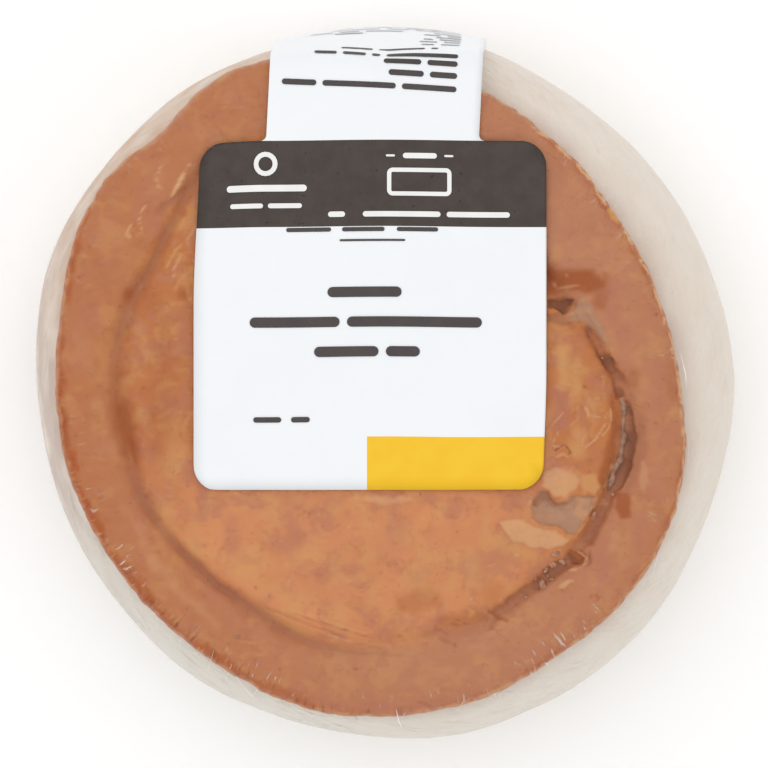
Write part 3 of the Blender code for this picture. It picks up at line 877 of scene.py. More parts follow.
class Desk:
    """Adds and links the nodes of one node tree."""

    def __init__(self, tree: Tree) -> None:
        """Starts on a tree."""
        self.tree = tree

    def add(self, kind: str, **settings: object) -> bpy.types.Node:
        """A new node of a kind, with settings of its own."""
        node = self.tree.nodes.new(kind)
        for name, value in settings.items():
            setattr(node, name, value)
        return node

    def feed(self, socket: Socket, value: object) -> None:
        """Links an output to a socket, or sets the socket to a number or a colour."""
        if isinstance(value, bpy.types.NodeSocket):
            self.tree.links.new(value, socket)
        elif isinstance(value, tuple) and len(value) == 3 and socket.type == "RGBA":
            socket.default_value = (*value, 1.0)
        else:
            socket.default_value = value

    def place(self) -> Socket:
        """The piece's own coordinates, in metres."""
        return self.add("ShaderNodeTexCoord").outputs["Object"]

    def value_of(self, name: str) -> Socket:
        """A value stored on the piece."""
        return self.add("ShaderNodeAttribute", attribute_name=name).outputs["Fac"]

    def noise(
        self, at: Socket, size: float, detail: float = 3.0, rough: float = 0.5, kind: str = "Fac"
    ) -> Socket:
        """Noise of a size in metres, 0 to 1: one number, or a Color of three."""
        node = self.add("ShaderNodeTexNoise")
        self.feed(node.inputs["Vector"], at)
        node.inputs["Scale"].default_value = 1 / size
        node.inputs["Detail"].default_value = detail
        node.inputs["Roughness"].default_value = rough
        return node.outputs[kind]

    def grade(self, value: object, low: float, high: float, start: object = 0.0, end: object = 1.0) -> Socket:
        """A smooth rise from start, where the value is low, to end, where it is high."""
        node = self.add("ShaderNodeMapRange", interpolation_type="SMOOTHSTEP")
        settings = {"Value": value, "From Min": low, "From Max": high, "To Min": start, "To Max": end}
        for name, given in settings.items():
            self.feed(node.inputs[name], given)
        return node.outputs["Result"]

    def maths(self, operation: str, first: object, second: object = 0.0) -> Socket:
        """The result of an operation on two numbers."""
        node = self.add("ShaderNodeMath", operation=operation)
        self.feed(node.inputs[0], first)
        self.feed(node.inputs[1], second)
        return node.outputs[0]

    def vectors(self, operation: str, *given: object) -> Socket:
        """The result of an operation on vectors."""
        node = self.add("ShaderNodeVectorMath", operation=operation)
        for socket, value in zip(node.inputs, given):
            self.feed(socket, value)
        return node.outputs[0]

    def tint(self, share: object, low: object, high: object) -> Socket:
        """A colour between two, by a share of the second."""
        node = self.add("ShaderNodeMix", data_type="RGBA")
        self.feed(node.inputs["Factor"], share)
        self.feed(node.inputs[6], low)
        self.feed(node.inputs[7], high)
        return node.outputs[2]

    def part(self, amount: float, share: Socket) -> Socket:
        """A share made smaller by an amount."""
        return self.maths("MULTIPLY", share, amount)

    def both(self, first: Socket, second: Socket) -> Socket:
        """Two shares multiplied."""
        return self.maths("MULTIPLY", first, second)

    def stretched(self, at: Socket, scale: Row, turn: float = 0.0) -> Socket:
        """Coordinates turned about Z and then stretched."""
        node = self.add("ShaderNodeMapping")
        self.feed(node.inputs["Vector"], at)
        node.inputs["Rotation"].default_value = (0.0, 0.0, turn)
        node.inputs["Scale"].default_value = scale
        return node.outputs["Vector"]

    def group(self, tree: Tree, at: Socket) -> bpy.types.Node:
        """A node group that takes coordinates."""
        node = self.add("ShaderNodeGroup", node_tree=tree)
        self.feed(node.inputs["Vector"], at)
        return node

    def bump(self, height: Socket, distance: float) -> Socket:
        """The normal of a fine relief, as high as a distance in metres."""
        node = self.add("ShaderNodeBump")
        node.inputs["Strength"].default_value = 1.0
        node.inputs["Distance"].default_value = distance
        self.feed(node.inputs["Height"], height)
        return node.outputs["Normal"]


def started(name: str) -> tuple[bpy.types.Material, Desk, bpy.types.Node]:
    """A new material, its desk and its shader."""
    made = bpy.data.materials.new(name)
    made.use_nodes = True
    return made, Desk(made.node_tree), made.node_tree.nodes["Principled BSDF"]


def effect(name: str, outputs: tuple[str, ...], wire: Callable[[Desk, Socket], tuple[Socket, ...]]) -> Tree:
    """A shared node group that turns coordinates into masks.

    Args:
        name: the group's name.
        outputs: its masks' names.
        wire: makes the masks' sockets from a desk and the coordinates.
    Returns:
        The group.
    """
    tree = bpy.data.node_groups.new(name, "ShaderNodeTree")
    tree.interface.new_socket(name="Vector", in_out="INPUT", socket_type="NodeSocketVector")
    for output in outputs:
        tree.interface.new_socket(name=output, in_out="OUTPUT", socket_type="NodeSocketFloat")
    desk = Desk(tree)
    made = wire(desk, desk.add("NodeGroupInput").outputs["Vector"])
    out = desk.add("NodeGroupOutput")
    for output, socket in zip(outputs, made):
        desk.feed(out.inputs[output], socket)
    return tree


@dataclass(frozen=True)
class Effects:
    """The node groups that the finishes share."""

    crumb: Tree
    browning: Tree
    flakes: Tree
    streaks: Tree
    folds: Tree

    @classmethod
    def made(cls) -> "Effects":
        """All of them, new."""
        return cls(
            effect("pastry_crumb", ("Specks", "Height"), cls._crumb),
            effect("browning", ("Broad", "Patchy", "Fine"), cls._browning),
            effect("glaze_flakes", ("Pink", "Golden", "Dark", "Height"), cls._flakes),
            effect("lip_streaks", ("Thin", "Dark", "Light"), cls._streaks),
            effect("film_folds", ("Fold", "Crease"), cls._folds),
        )

    @staticmethod
    def _crumb(desk: Desk, at: Socket) -> tuple[Socket, ...]:
        """Dark specks, and a soft unevenness with pores."""
        pores = desk.grade(desk.noise(at, 0.9 * MM, 2.0, 0.6), 0.36, 0.24)
        specks = desk.grade(desk.noise(at, 1.5 * MM, 1.0), 0.72, 0.80)
        swell = desk.noise(at, 2.4 * MM, 4.0, 0.6)
        return specks, desk.maths("SUBTRACT", swell, desk.part(0.5, pores))

    @staticmethod
    def _browning(desk: Desk, at: Socket) -> tuple[Socket, ...]:
        """Uneven browning, as broad as a palm, a fingertip and a grain of rice."""
        return (
            desk.grade(desk.noise(at, 24 * MM, 2.0), 0.32, 0.68),
            desk.grade(desk.noise(at, 6 * MM, 3.0, 0.55), 0.34, 0.68),
            desk.grade(desk.noise(at, 1.8 * MM, 4.0, 0.6), 0.30, 0.70),
        )

    @staticmethod
    def _flakes(desk: Desk, at: Socket) -> tuple[Socket, ...]:
        """Ragged little flakes, some pinker, some more golden and some darker, and their relief."""
        drift = desk.noise(at, 4 * MM, kind="Color")
        masks = []
        for reach, size, low, high in ((5, 5.0, 0.46, 0.62), (-6, 4.2, 0.48, 0.64), (8, 2.4, 0.57, 0.70)):
            moved = desk.vectors("MULTIPLY_ADD", drift, (reach * MM,) * 3, at)
            masks.append(desk.grade(desk.noise(moved, size * MM, 5.0, 0.56), low, high))
        return (*masks, desk.maths("SUBTRACT", masks[0], masks[2]))

    @staticmethod
    def _streaks(desk: Desk, at: Socket) -> tuple[Socket, ...]:
        """Thin streaks that run in from the lip towards the axis."""
        unit = desk.vectors("NORMALIZE", desk.vectors("MULTIPLY", at, (1.0, 1.0, 0.0)))
        ring = desk.vectors("MULTIPLY_ADD", unit, (0.05,) * 3, desk.stretched(at, (0.22,) * 3))
        thin = desk.noise(ring, 0.7 * MM, 2.0, 0.6)
        return thin, desk.grade(thin, 0.46, 0.34), desk.grade(thin, 0.58, 0.70)

    @staticmethod
    def _folds(desk: Desk, at: Socket) -> tuple[Socket, ...]:
        """Slanted wrinkles of film pulled round the side, and their thin creases."""
        apart = desk.add("ShaderNodeSeparateXYZ")
        desk.feed(apart.inputs[0], at)
        swirl = desk.add("ShaderNodeVectorRotate", rotation_type="Z_AXIS")
        desk.feed(swirl.inputs["Vector"], at)
        desk.feed(swirl.inputs["Angle"], desk.maths("MULTIPLY", apart.outputs["Z"], 26.0))
        drawn = desk.stretched(swirl.outputs[0], (1.0, 1.0, 0.12))
        folds = desk.noise(drawn, 1.6 * MM, 3.0, 0.62)
        thin = desk.maths("ABSOLUTE", desk.maths("SUBTRACT", desk.noise(drawn, 3.0 * MM, 2.0, 0.5), 0.5))
        return desk.grade(folds, 0.52, 0.76), desk.grade(thin, 0.035, 0.0)


@dataclass(frozen=True)
class Glaze:
    """The glazed and browned top of the crust, darkest at the lip, with painted shade in the crease and
    hollows.
    """

    rim: Colour = (0.458, 0.146, 0.042)
    rim_rosy: Colour = (0.475, 0.190, 0.096)
    lid_edge: Colour = (0.490, 0.150, 0.035)
    lid: Colour = (0.650, 0.243, 0.090)
    baked_lip: Colour = (0.390, 0.086, 0.014)
    dark_fleck: Colour = (0.210, 0.052, 0.018)
    rind: Colour = (0.660, 0.370, 0.170)
    tones: dict[Tone, Colour] = field(default_factory=lambda: {
        GOLD: (0.600, 0.290, 0.095),
        ROSY: (0.440, 0.150, 0.084),
        BURNT: (0.320, 0.067, 0.004),
        CREAM: (0.660, 0.360, 0.175),
        VALLEY: (0.325, 0.106, 0.048),
        FLESH: (0.400, 0.205, 0.118),
        SHADE: (0.190, 0.060, 0.024),
    })
    flesh_light: Colour = (0.520, 0.300, 0.175)
    flesh_dark: Colour = (0.300, 0.150, 0.090)
    roughness: float = 0.5
    roughest: float = 0.62
    gloss: float = 0.3
    film_gloss: float = 0.1

    def material(self, effects: Effects) -> bpy.types.Material:
        """The finish, mixed from the values kept on the piece."""
        made, desk, shader = started("glazed_crust")
        at = desk.place()
        crumb, brown = desk.group(effects.crumb, at), desk.group(effects.browning, at)
        flakes, streaks = desk.group(effects.flakes, at), desk.group(effects.streaks, at)
        gold, rosy, burnt = (self.tones[tone] for tone in (GOLD, ROSY, BURNT))
        lid = desk.value_of("lid")
        colour = desk.tint(desk.value_of("rosy_rim"), self.rim, self.rim_rosy)
        colour = desk.tint(lid, colour, desk.tint(desk.value_of("pale"), self.lid_edge, self.lid))
        amount = desk.grade(lid, 0.0, 1.0, 0.65, 1.0)
        pink, golden, dark = (desk.both(flakes.outputs[mask], amount) for mask in ("Pink", "Golden", "Dark"))
        strokes = desk.noise(desk.stretched(at, (0.30, 1.0, 1.0), 0.12), 1.3 * MM, 4.0, 0.65)
        glints = desk.grade(desk.noise(at, 1.1 * MM, 3.0, 0.7), 0.63, 0.72)
        layers = (
            (0.20, brown.outputs["Broad"], rosy), (0.12, brown.outputs["Patchy"], burnt),
            (0.60, pink, rosy), (0.42, golden, gold), (0.16, dark, burnt),
            (0.30, desk.grade(strokes, 0.56, 0.72), gold), (0.22, desk.grade(strokes, 0.42, 0.28), burnt),
            (0.12, brown.outputs["Fine"], gold), (0.45, crumb.outputs["Specks"], burnt),
            (1.00, desk.both(glints, desk.grade(lid, 0.0, 1.0, 0.1, 0.5)), self.rind),
        )
        for share, mask, shade in layers:
            colour = desk.tint(desk.part(share, mask), colour, shade)
        lip = desk.value_of("lip")
        thin = desk.maths("SUBTRACT", streaks.outputs["Thin"], 0.5)
        rough = desk.maths("ADD", thin, desk.part(0.3, brown.outputs["Fine"]))
        blots = desk.maths("SUBTRACT", brown.outputs["Patchy"], 0.5)
        edge = desk.maths("ADD", desk.maths("ADD", lip, desk.part(1.2, rough)), desk.part(0.8, blots))
        baked = desk.both(desk.grade(edge, -0.05, 0.70), desk.value_of("baked"))
        colour = desk.tint(baked, colour, self.baked_lip)
        near = desk.both(desk.grade(lip, -0.6, 0.3), desk.value_of("flecked"))
        for share, streak, shade in ((0.75, "Dark", self.dark_fleck), (0.60, "Light", gold)):
            colour = desk.tint(desk.part(share, desk.both(near, streaks.outputs[streak])), colour, shade)
        for tone, shade in self.tones.items():
            if tone is FLESH:
                shade = desk.tint(desk.part(0.45, flakes.outputs["Golden"]), shade, self.flesh_light)
                shade = desk.tint(desk.part(0.40, flakes.outputs["Pink"]), shade, self.flesh_dark)
            colour = desk.tint(desk.value_of(tone.value), colour, shade)
        rind = desk.both(desk.value_of("rind"), desk.grade(brown.outputs["Fine"], 0.25, 0.80, 0.10, 1.0))
        colour = desk.tint(rind, colour, self.rind)
        desk.feed(shader.inputs["Base Color"], colour)
        roughness = desk.grade(brown.outputs["Fine"], 0.0, 1.0, self.roughness, self.roughest)
        desk.feed(shader.inputs["Roughness"], roughness)
        shader.inputs["Specular IOR Level"].default_value = self.gloss
        shader.inputs["Coat Weight"].default_value = self.film_gloss
        shader.inputs["Coat Roughness"].default_value = 0.3
        relief = desk.maths("ADD", crumb.outputs["Height"], desk.part(0.35, flakes.outputs["Height"]))
        desk.feed(shader.inputs["Normal"], desk.bump(relief, 0.16 * MM))
        return made


@dataclass(frozen=True)
class PaleDough:
    """The unglazed side, pale where the film holds it and browner towards the base. Its mauve is painted
    shade under the lip, down the left side and in the film's thin creases.
    """

    cream: Colour = (0.765, 0.675, 0.585)
    mauve_shade: Colour = (0.520, 0.400, 0.335)
    cool: Colour = (0.675, 0.635, 0.555)
    warm: Colour = (0.700, 0.570, 0.430)
    tan: Colour = (0.560, 0.340, 0.200)
    toasted: Colour = (0.430, 0.250, 0.130)

    def material(self, effects: Effects) -> bpy.types.Material:
        """The pale side's finish."""
        made, desk, shader = started("pale_dough")
        at = desk.place()
        crumb, brown = desk.group(effects.crumb, at), desk.group(effects.browning, at)
        colour = desk.tint(desk.part(0.22, brown.outputs["Patchy"]), self.cream, self.warm)
        colour = desk.tint(desk.value_of("cool"), colour, self.cool)
        folds = desk.group(effects.folds, at)
        patchy = desk.grade(brown.outputs["Patchy"], 0.0, 1.0, 0.1, 0.65)
        # painted shade: thin mauve lines in the film's creases, then mauve shade under the lip and down the
        # left side
        streaked = desk.both(folds.outputs["Crease"], desk.both(patchy, desk.value_of("streaked")))
        colour = desk.tint(streaked, colour, self.mauve_shade)
        colour = desk.tint(desk.part(0.9, desk.value_of("mauve_shade")), colour, self.mauve_shade)
        tanned = desk.both(desk.value_of("tan"), desk.grade(folds.outputs["Fold"], 0.0, 1.0, 1.0, 0.75))
        colour = desk.tint(tanned, colour, self.tan)
        low = desk.maths("ADD", desk.value_of("toast"), desk.part(0.25, brown.outputs["Fine"]))
        colour = desk.tint(desk.grade(low, 0.25, 1.1, 0.0, 0.85), colour, self.toasted)
        colour = desk.tint(desk.part(0.12, crumb.outputs["Specks"]), colour, self.toasted)
        desk.feed(shader.inputs["Base Color"], colour)
        shader.inputs["Roughness"].default_value = 0.55
        shader.inputs["Coat Weight"].default_value = 0.3
        shader.inputs["Coat Roughness"].default_value = 0.25
        desk.feed(shader.inputs["Normal"], desk.bump(crumb.outputs["Height"], 0.08 * MM))
        return made


@dataclass(frozen=True)
class ClearFilm:
    """Clear wrapping film, seen only by its wrinkles, folds and faint haze, whose whitish veil is painted
    sheen.
    """

    haze: Colour = (0.80, 0.77, 0.72)
    least: float = 0.01  # how much of the film shows where it is clearest

    def material(self, effects: Effects) -> bpy.types.Material:
        """The film's finish: see-through but for its haze and wrinkles."""
        made, desk, shader = started("clear_film")
        shader.inputs["Base Color"].default_value = (*self.haze, 1.0)
        shader.inputs["Roughness"].default_value = 0.2
        at = desk.place()
        folds = desk.group(effects.folds, at)
        streaks = desk.group(effects.streaks, at)
        # painted sheen and highlights: haze, folds and whiskers show as a whitish veil
        cloud = desk.noise(desk.stretched(at, (1.0, 0.45, 1.0), -0.8), 1.8 * MM, 4.0, 0.65)
        cover = desk.both(folds.outputs["Fold"], desk.value_of("folds"))
        cloud = desk.grade(cloud, 0.3, 0.7, 0.15, 1.0)
        for mask, value in ((streaks.outputs["Light"], "whiskers"), (cloud, "haze")):
            cover = desk.maths("MAXIMUM", cover, desk.both(mask, desk.value_of(value)))
        desk.feed(shader.inputs["Alpha"], desk.maths("ADD", cover, self.least))
        return made


@dataclass(frozen=True)
class PlainFinish:
    """A finish of one colour, mottled with a second, with specks of a third."""

    name: str
    colour: Colour
    second: Colour
    roughness: float
    size: float = 3 * MM
    specks: Colour | None = None
    relief: float = 0.0
    gloss: float = 0.5

    def material(self, effects: Effects) -> bpy.types.Material:
        """The finish."""
        made, desk, shader = started(self.name)
        at = desk.place()
        noise = desk.noise(at, self.size, 4.0, 0.6)
        colour = desk.tint(desk.grade(noise, 0.35, 0.65), self.second, self.colour)
        if self.specks:
            dots = desk.grade(desk.noise(at, 0.8 * MM, 1.0), 0.70, 0.78)
            colour = desk.tint(dots, colour, self.specks)
        desk.feed(shader.inputs["Base Color"], colour)
        shader.inputs["Roughness"].default_value = self.roughness
        shader.inputs["Specular IOR Level"].default_value = self.gloss
        if self.relief:
            height = desk.group(effects.crumb, at).outputs["Height"]
            desk.feed(shader.inputs["Normal"], desk.bump(height, self.relief))
        return made


# name, colour, second colour, roughness, size, specks, relief and gloss
LOOSE_FINISHES = (
    ("jelly", (0.40, 0.23, 0.15), (0.24, 0.11, 0.065), 0.5, 0.9 * MM, (0.58, 0.38, 0.28), 0.04 * MM, 0.3),
    ("loose_crumb", (0.50, 0.27, 0.17), (0.34, 0.15, 0.09), 0.6, 0.8 * MM, None, 0.05 * MM, 0.15),
    # the film strands' near-white is painted highlight, clear film catching the light
    ("film_strand", (0.94, 0.91, 0.88), (0.82, 0.74, 0.68), 0.3, 1.5 * MM),
)
PAPERS = (
    ("label_paper", (0.885, 0.905, 0.925), (0.870, 0.890, 0.912), 0.4, 9 * MM),
    (
        "label_band", (0.068, 0.052, 0.044), (0.056, 0.043, 0.037), 0.5, 3 * MM, (0.03, 0.025, 0.025), 0.0,
        0.25,
    ),
    ("label_yellow", (0.920, 0.555, 0.018), (0.910, 0.530, 0.014), 0.45, 4 * MM, None, 0.0, 0.3),
)
INKS = (
    ("dark_ink", (0.055, 0.042, 0.040), (0.045, 0.035, 0.033), 0.5),
    ("white_ink", (0.88, 0.88, 0.87), (0.84, 0.84, 0.83), 0.5),
    ("grey_ink", (0.42, 0.42, 0.42), (0.33, 0.33, 0.33), 0.5),
)


# ---------------------------------------------------------------- crust


@dataclass(frozen=True)
class PaleSide:
    """The bowed side and the base, drawn in under the rim."""

    steps: int = 600
    base_rows: int = 10
    side_rows: int = 84
    tuck_rows: int = 5
    tuck_height: float = 0.0385
    base_lift: float = 0.25 * MM  # the film's thickness and folds under the base

    def build(self) -> Piece:
        """The side's mesh, with how toasted each place is and how much mauve painted shade it takes."""
        rows = self.base_rows + self.side_rows + self.tuck_rows
        cage, row, bearing = globe(self.steps, rows)
        base = np.clip(row / self.base_rows, 0, 1)
        share = np.clip((row - self.base_rows) / self.side_rows, 0, 1)
        tuck = np.clip((row - self.base_rows - self.side_rows) / self.tuck_rows, 0, 1)
        turn = -math.pi / 2 + share * (math.pi / 2 + FORM.side_turn)
        radius, height = FORM.side(bearing, turn)
        radius = np.where(row <= self.base_rows, radius * base, radius * (1 - tuck))
        height = height - smooth(0.0, 0.4, tuck) * (height - self.tuck_height)
        piece = Piece("crust_side", cage)
        piece.points = placed(bearing, radius, np.maximum(height, self.base_lift))
        at = piece.points
        dents = 0.24 * Grain(11 * MM, 3).at(at) + 0.07 * Grain(3.5 * MM, 4, 3).at(at)
        pressed = np.abs(Grain(6 * MM, 9, 3).at(at * (1, 1, 1.8)))
        dents -= 0.12 * smooth(0.10, 0.0, pressed)
        lifted = smooth(0.0, 0.15, share) * (row <= self.base_rows + self.side_rows)
        piece.raise_along_normals(lifted * dents * MM)
        toast = smooth(0.30, 0.0, share)
        piece.keep("toast", toast + 0.25 * Grain(9 * MM, 8).at(at) * smooth(0.5, 0.0, share))
        # painted shade, mauve: under the lip's overhang and down the left side
        under = 0.6 * smooth(0.84, 1.0, share) * (0.75 + 0.5 * Grain(7 * MM, 10).at(at))
        left = 1.15 * smooth(math.radians(55), 0.0, np.abs(np.remainder(bearing, TAU) - math.pi))
        piece.keep("mauve_shade", np.clip(under + left * (0.7 + Grain(5 * MM, 12).at(at)), 0, 1))
        piece.keep("cool", COOL.at(bearing))
        piece.keep("streaked", np.maximum(STREAKED.at(bearing), smooth(0.4, 0.2, share)))
        tanned = TANNED.at(bearing) * smooth(0.30, 0.60, share)
        piece.keep("tan", tanned * (0.8 + 0.5 * Grain(4 * MM, 14).at(at)))
        return piece


COOL = Around({-175: 0.1, -160: 0.5, -140: 0.9, -105: 0.8, -85: 0.4, -50: 0.3, -20: 0.1, 60: 0.0, 150: 0.0})
STREAKED = Around({
    -170: 0.8, -100: 0.9, -60: 0.6, -40: 0.25, 0: 0.05, 55: 0.1, 72: 0.5, 85: 0.8, 120: 1.0, 150: 1.0,
})
TANNED = Around({60: 0.0, 100: 0.3, 115: 0.7, 135: 0.9, 155: 0.7, 172: 0.2, 200: 0.0, 300: 0.0})


@dataclass(frozen=True)
class TopCrust:
    """The glazed top: a rim with a thin free lip, a soft crease, and the lid."""

    steps: int = 720
    under_rows: int = 3
    lip_rows: int = 8
    rim_rows: int = 25
    roll_rows: int = 25
    lid_rows: int = 62
    middle_rows: int = 5
    tighter: float = 0.3  # how much closer the steps stand at the torn side
    torn_bearing: float = math.radians(-22)
    inner_radius: float = 0.0168
    lid_border: float = 0.0030
    lip_depth: float = 0.0034
    lip_drop: float = 0.0019

    @property
    def rows(self) -> tuple[int, ...]:
        """How many rows each stretch of the section has, from the lip's underside to the middle."""
        return self.under_rows, self.lip_rows, self.rim_rows, self.roll_rows, self.lid_rows, self.middle_rows

    def _section(self, row: Array, bearing: Array) -> tuple[Array, Array]:
        """The radius and height of each row of the section at each bearing."""
        stops = np.cumsum(self.rows)
        lip, crest, crease = FORM.lip.at(bearing), FORM.crest_radius(bearing), FORM.crease.at(bearing)

        def between(low: int, high: int) -> Array:
            """How far each row is from one stop to another."""
            return np.clip((row - low) / (high - low), 0, 1)

        turn = between(stops[1], stops[2]) * math.pi / 2
        radius, height = FORM.rim(bearing, turn)
        roll, lid, middle = (between(stops[at], stops[at + 1]) for at in (2, 3, 4))
        border = crease - self.lid_border
        inner = crest + (border - crest) * roll + (self.inner_radius - border) * lid
        inner -= self.inner_radius * middle
        radius = np.where(row > stops[2], inner, radius)
        height = np.where(row > stops[2], FORM.dome(bearing, radius), height)
        under = (1 - between(stops[0], stops[1])) * math.pi / 2
        below = row < stops[1]
        radius = np.where(below, lip - self.lip_depth * (1 - np.cos(under)), radius)
        height = np.where(below, FORM.lip_height - self.lip_drop * np.sin(under) ** 0.7, height)
        return np.where(row < stops[0], radius * row / stops[0], radius), height

    def build(self) -> Piece:
        """The top's mesh, with its marks and its browning."""
        cage, row, turn = globe(self.steps, sum(self.rows))
        bearing = turn - self.tighter * np.sin(turn - self.torn_bearing)
        radius, height = self._section(row, bearing)
        upper = row > self.under_rows + self.lip_rows + self.rim_rows
        seen = row > self.under_rows + self.lip_rows
        drop, dark = TOP.crease(bearing, radius)
        rise = smooth(0.0, 1.0, (FORM.crest_radius(bearing) - radius) / (2 * MM))
        piece = Piece("crust_top", cage)
        edge = placed(bearing, FORM.lip.at(bearing), np.zeros_like(bearing))
        lip_gap = FORM.lip.at(bearing) - radius
        lip = 1 - np.clip(lip_gap / (BAND.at(bearing) * MM), 0, 2)
        ragged = 0.30 * Grain(3.2 * MM, 24, 3).at(edge) + 0.08 * Grain(1.2 * MM, 25, 2).at(edge) - 0.05
        out = ragged * smooth(2.5 * MM, 0.0, lip_gap) + LIP_OUT.at(bearing) * smooth(5 * MM, 0.0, lip_gap)
        radius = radius + out * MM
        piece.points = placed(bearing, radius, height - drop * rise * upper)
        at = piece.points
        flat = (at[:, :2] - MIDDLE[:2]) / MM
        lid = smooth(0.8 * MM, -0.8 * MM, radius - FORM.crease.at(bearing))
        lumps = 0.15 * Grain(9 * MM, 21).at(at) + 0.05 * Grain(3 * MM, 22, 3).at(at)
        layers = np.abs(Grain(1.8 * MM, 43, 3).at(at * (0.6, 1.0, 1.0)))
        lumps += lid * (0.12 * Grain(5 * MM, 41).at(at) + 0.10 * layers)
        ticks = 0.05 * Grain(0.8 * MM, 23, 2).at(edge + at * 0.2) * smooth(4 * MM, 0.4 * MM, lip_gap)
        heights = (lumps + ticks - 0.24) * (row > self.under_rows)
        tones = {tone: np.zeros(len(at)) for tone in Tone}
        # painted shade in the soft crease, darkest along its line
        tones[VALLEY] = dark * upper
        for mark in MARKS:
            cover = mark.cover(flat) * seen
            heights = heights + mark.rise * cover
            for tone in tones:
                if tone is mark.tone:
                    tones[tone] = np.maximum(tones[tone], mark.share * cover)
                else:
                    tones[tone] = tones[tone] * (1 - 0.9 * mark.share * cover)
        piece.raise_along_normals(heights * MM)
        for tone, shares in tones.items():
            piece.keep(tone.value, shares)
        rind = smooth(0.9 * MM, 0.3 * MM, lip_gap / (1 + 0.8 * Grain(2.5 * MM, 26, 3).at(edge)))
        values = {
            "lid": lid, "lip": lip, "baked": BAKED.at(bearing), "flecked": FLECKED.at(bearing),
            "rosy_rim": ROSY_RIM.at(bearing),
            "pale": smooth(30, 12, np.hypot((flat[:, 0] + 5) / 1.6, flat[:, 1] + 25)),
            "rind": rind * (row > self.under_rows + 2) * RIND.at(bearing),
        }
        for name, value in values.items():
            piece.keep(name, value)
        return piece


# how the rim changes round the pie, at bearings in degrees
BAKED = Around({
    -165: 0.9, -140: 0.95, -112: 0.85, -98: 0.4, -80: 0.35, -60: 0.5, -30: 0.6, 0: 0.6, 30: 0.7, 50: 0.8,
    66: 0.5, 85: 0.25, 110: 0.1, 140: 0.2, 152: 0.8, 175: 0.9,
})
LIP_OUT = Around({
    -174: 0.6, -162: 0.8, -150: 0.3, -132: 0.5, -114: 0.5, -103: 0.9, -94: 0.4, -84: -0.1, -75: 0.4,
    -60: 0.0, -50: 0.5, -38: 1.0, -18: 0.9, -8: 0.0, 0: -0.2, 12: -0.1, 26: 0.5, 37: 0.0, 50: 0.1, 90: 0.1,
    140: 0.3, 152: 0.5, 165: 0.2,
})  # how far the lip stands out, in millimetres
BAND = Around({
    -165: 1.5, -150: 1.7, -125: 1.9, -108: 1.7, -90: 1.2, -60: 1.0, -20: 0.9, 20: 1.1, 40: 1.3, 55: 1.3,
    75: 0.8, 110: 0.6, 140: 0.8, 155: 1.2, 178: 1.5,
})  # the browned lip's width in millimetres
FLECKED = Around({
    -168: 0.5, -150: 0.9, -115: 1.0, -95: 0.9, -78: 0.7, -60: 0.35, 0: 0.5, 30: 0.5, 60: 0.4, 80: 0.6,
    110: 0.2, 140: 0.2, 165: 0.35,
})
ROSY_RIM = Around({
    -180: 0.0, -150: 0.1, -120: 0.35, -90: 0.8, -60: 0.9, -30: 0.6, 0: 0.7, 45: 1.0, 75: 0.7, 100: 0.4,
    130: 0.3, 160: 0.05,
})
RIND = Around({
    -160: 0.35, -110: 0.35, -80: 0.45, -50: 0.6, -20: 0.75, 20: 0.9, 60: 0.95, 80: 0.5, 120: 0.3, 160: 0.4,
})


def thread(
    line: Array, steps: int, rows: int, level: Callable[[Array, Array], Array]
) -> tuple[bmesh.types.BMesh, Array]:
    """A round thread laid along a line.

    Args:
        line: rows of across, along and width, from the pie's axis.
        steps: faces round it.
        rows: faces along it.
        level: gives the height of its middle at places across and along.
    Returns:
        Its cage, and where the cage's points belong.
    """
    cage, row, bearing = globe(steps, rows)
    run = runs_along(line[:, :2])
    here = row / rows * run[-1]
    x, y, width = (np.interp(here, run, line[:, axis]) for axis in range(3))
    ahead, behind = np.clip(here + 0.1 * MM, 0, run[-1]), np.clip(here - 0.1 * MM, 0, run[-1])
    way = [np.interp(ahead, run, line[:, axis]) - np.interp(behind, run, line[:, axis]) for axis in (0, 1)]
    radius = width / 2 * np.sqrt(np.clip(1 - (2 * row / rows - 1) ** 12, 0, 1))
    out = radius * np.cos(bearing) / np.hypot(*way)
    height = level(x, y) + radius * np.sin(bearing)
    return cage, np.column_stack((x - way[1] * out, y + way[0] * out, height)) + MIDDLE


@dataclass(frozen=True)
class JellyThread:
    """The thread of set jelly that stands in the crevice."""

    line: tuple[Row, ...] = (
        (39.0, -1.2, 0.8), (39.3, -2.6, 1.4), (39.5, -4.2, 0.9), (39.3, -6.2, 0.7), (39.4, -7.8, 1.2),
        (39.0, -9.6, 0.8), (38.9, -11.1, 1.1), (38.2, -12.3, 1.2), (37.8, -13.6, 0.8), (37.4, -15.0, 1.2),
        (36.8, -16.7, 0.5),
    )
    sunk: float = 0.55 * MM

    def build(self) -> Piece:
        """The thread's mesh, lumpy and round."""
        cage, points = thread(np.array(self.line) * MM, 14, 110, lambda x, y: TOP.height(x, y) - self.sunk)
        piece = Piece("jelly_thread", cage)
        piece.points = points
        piece.raise_along_normals(0.32 * MM * Grain(1.0 * MM, 51, 3).at(points))
        return piece


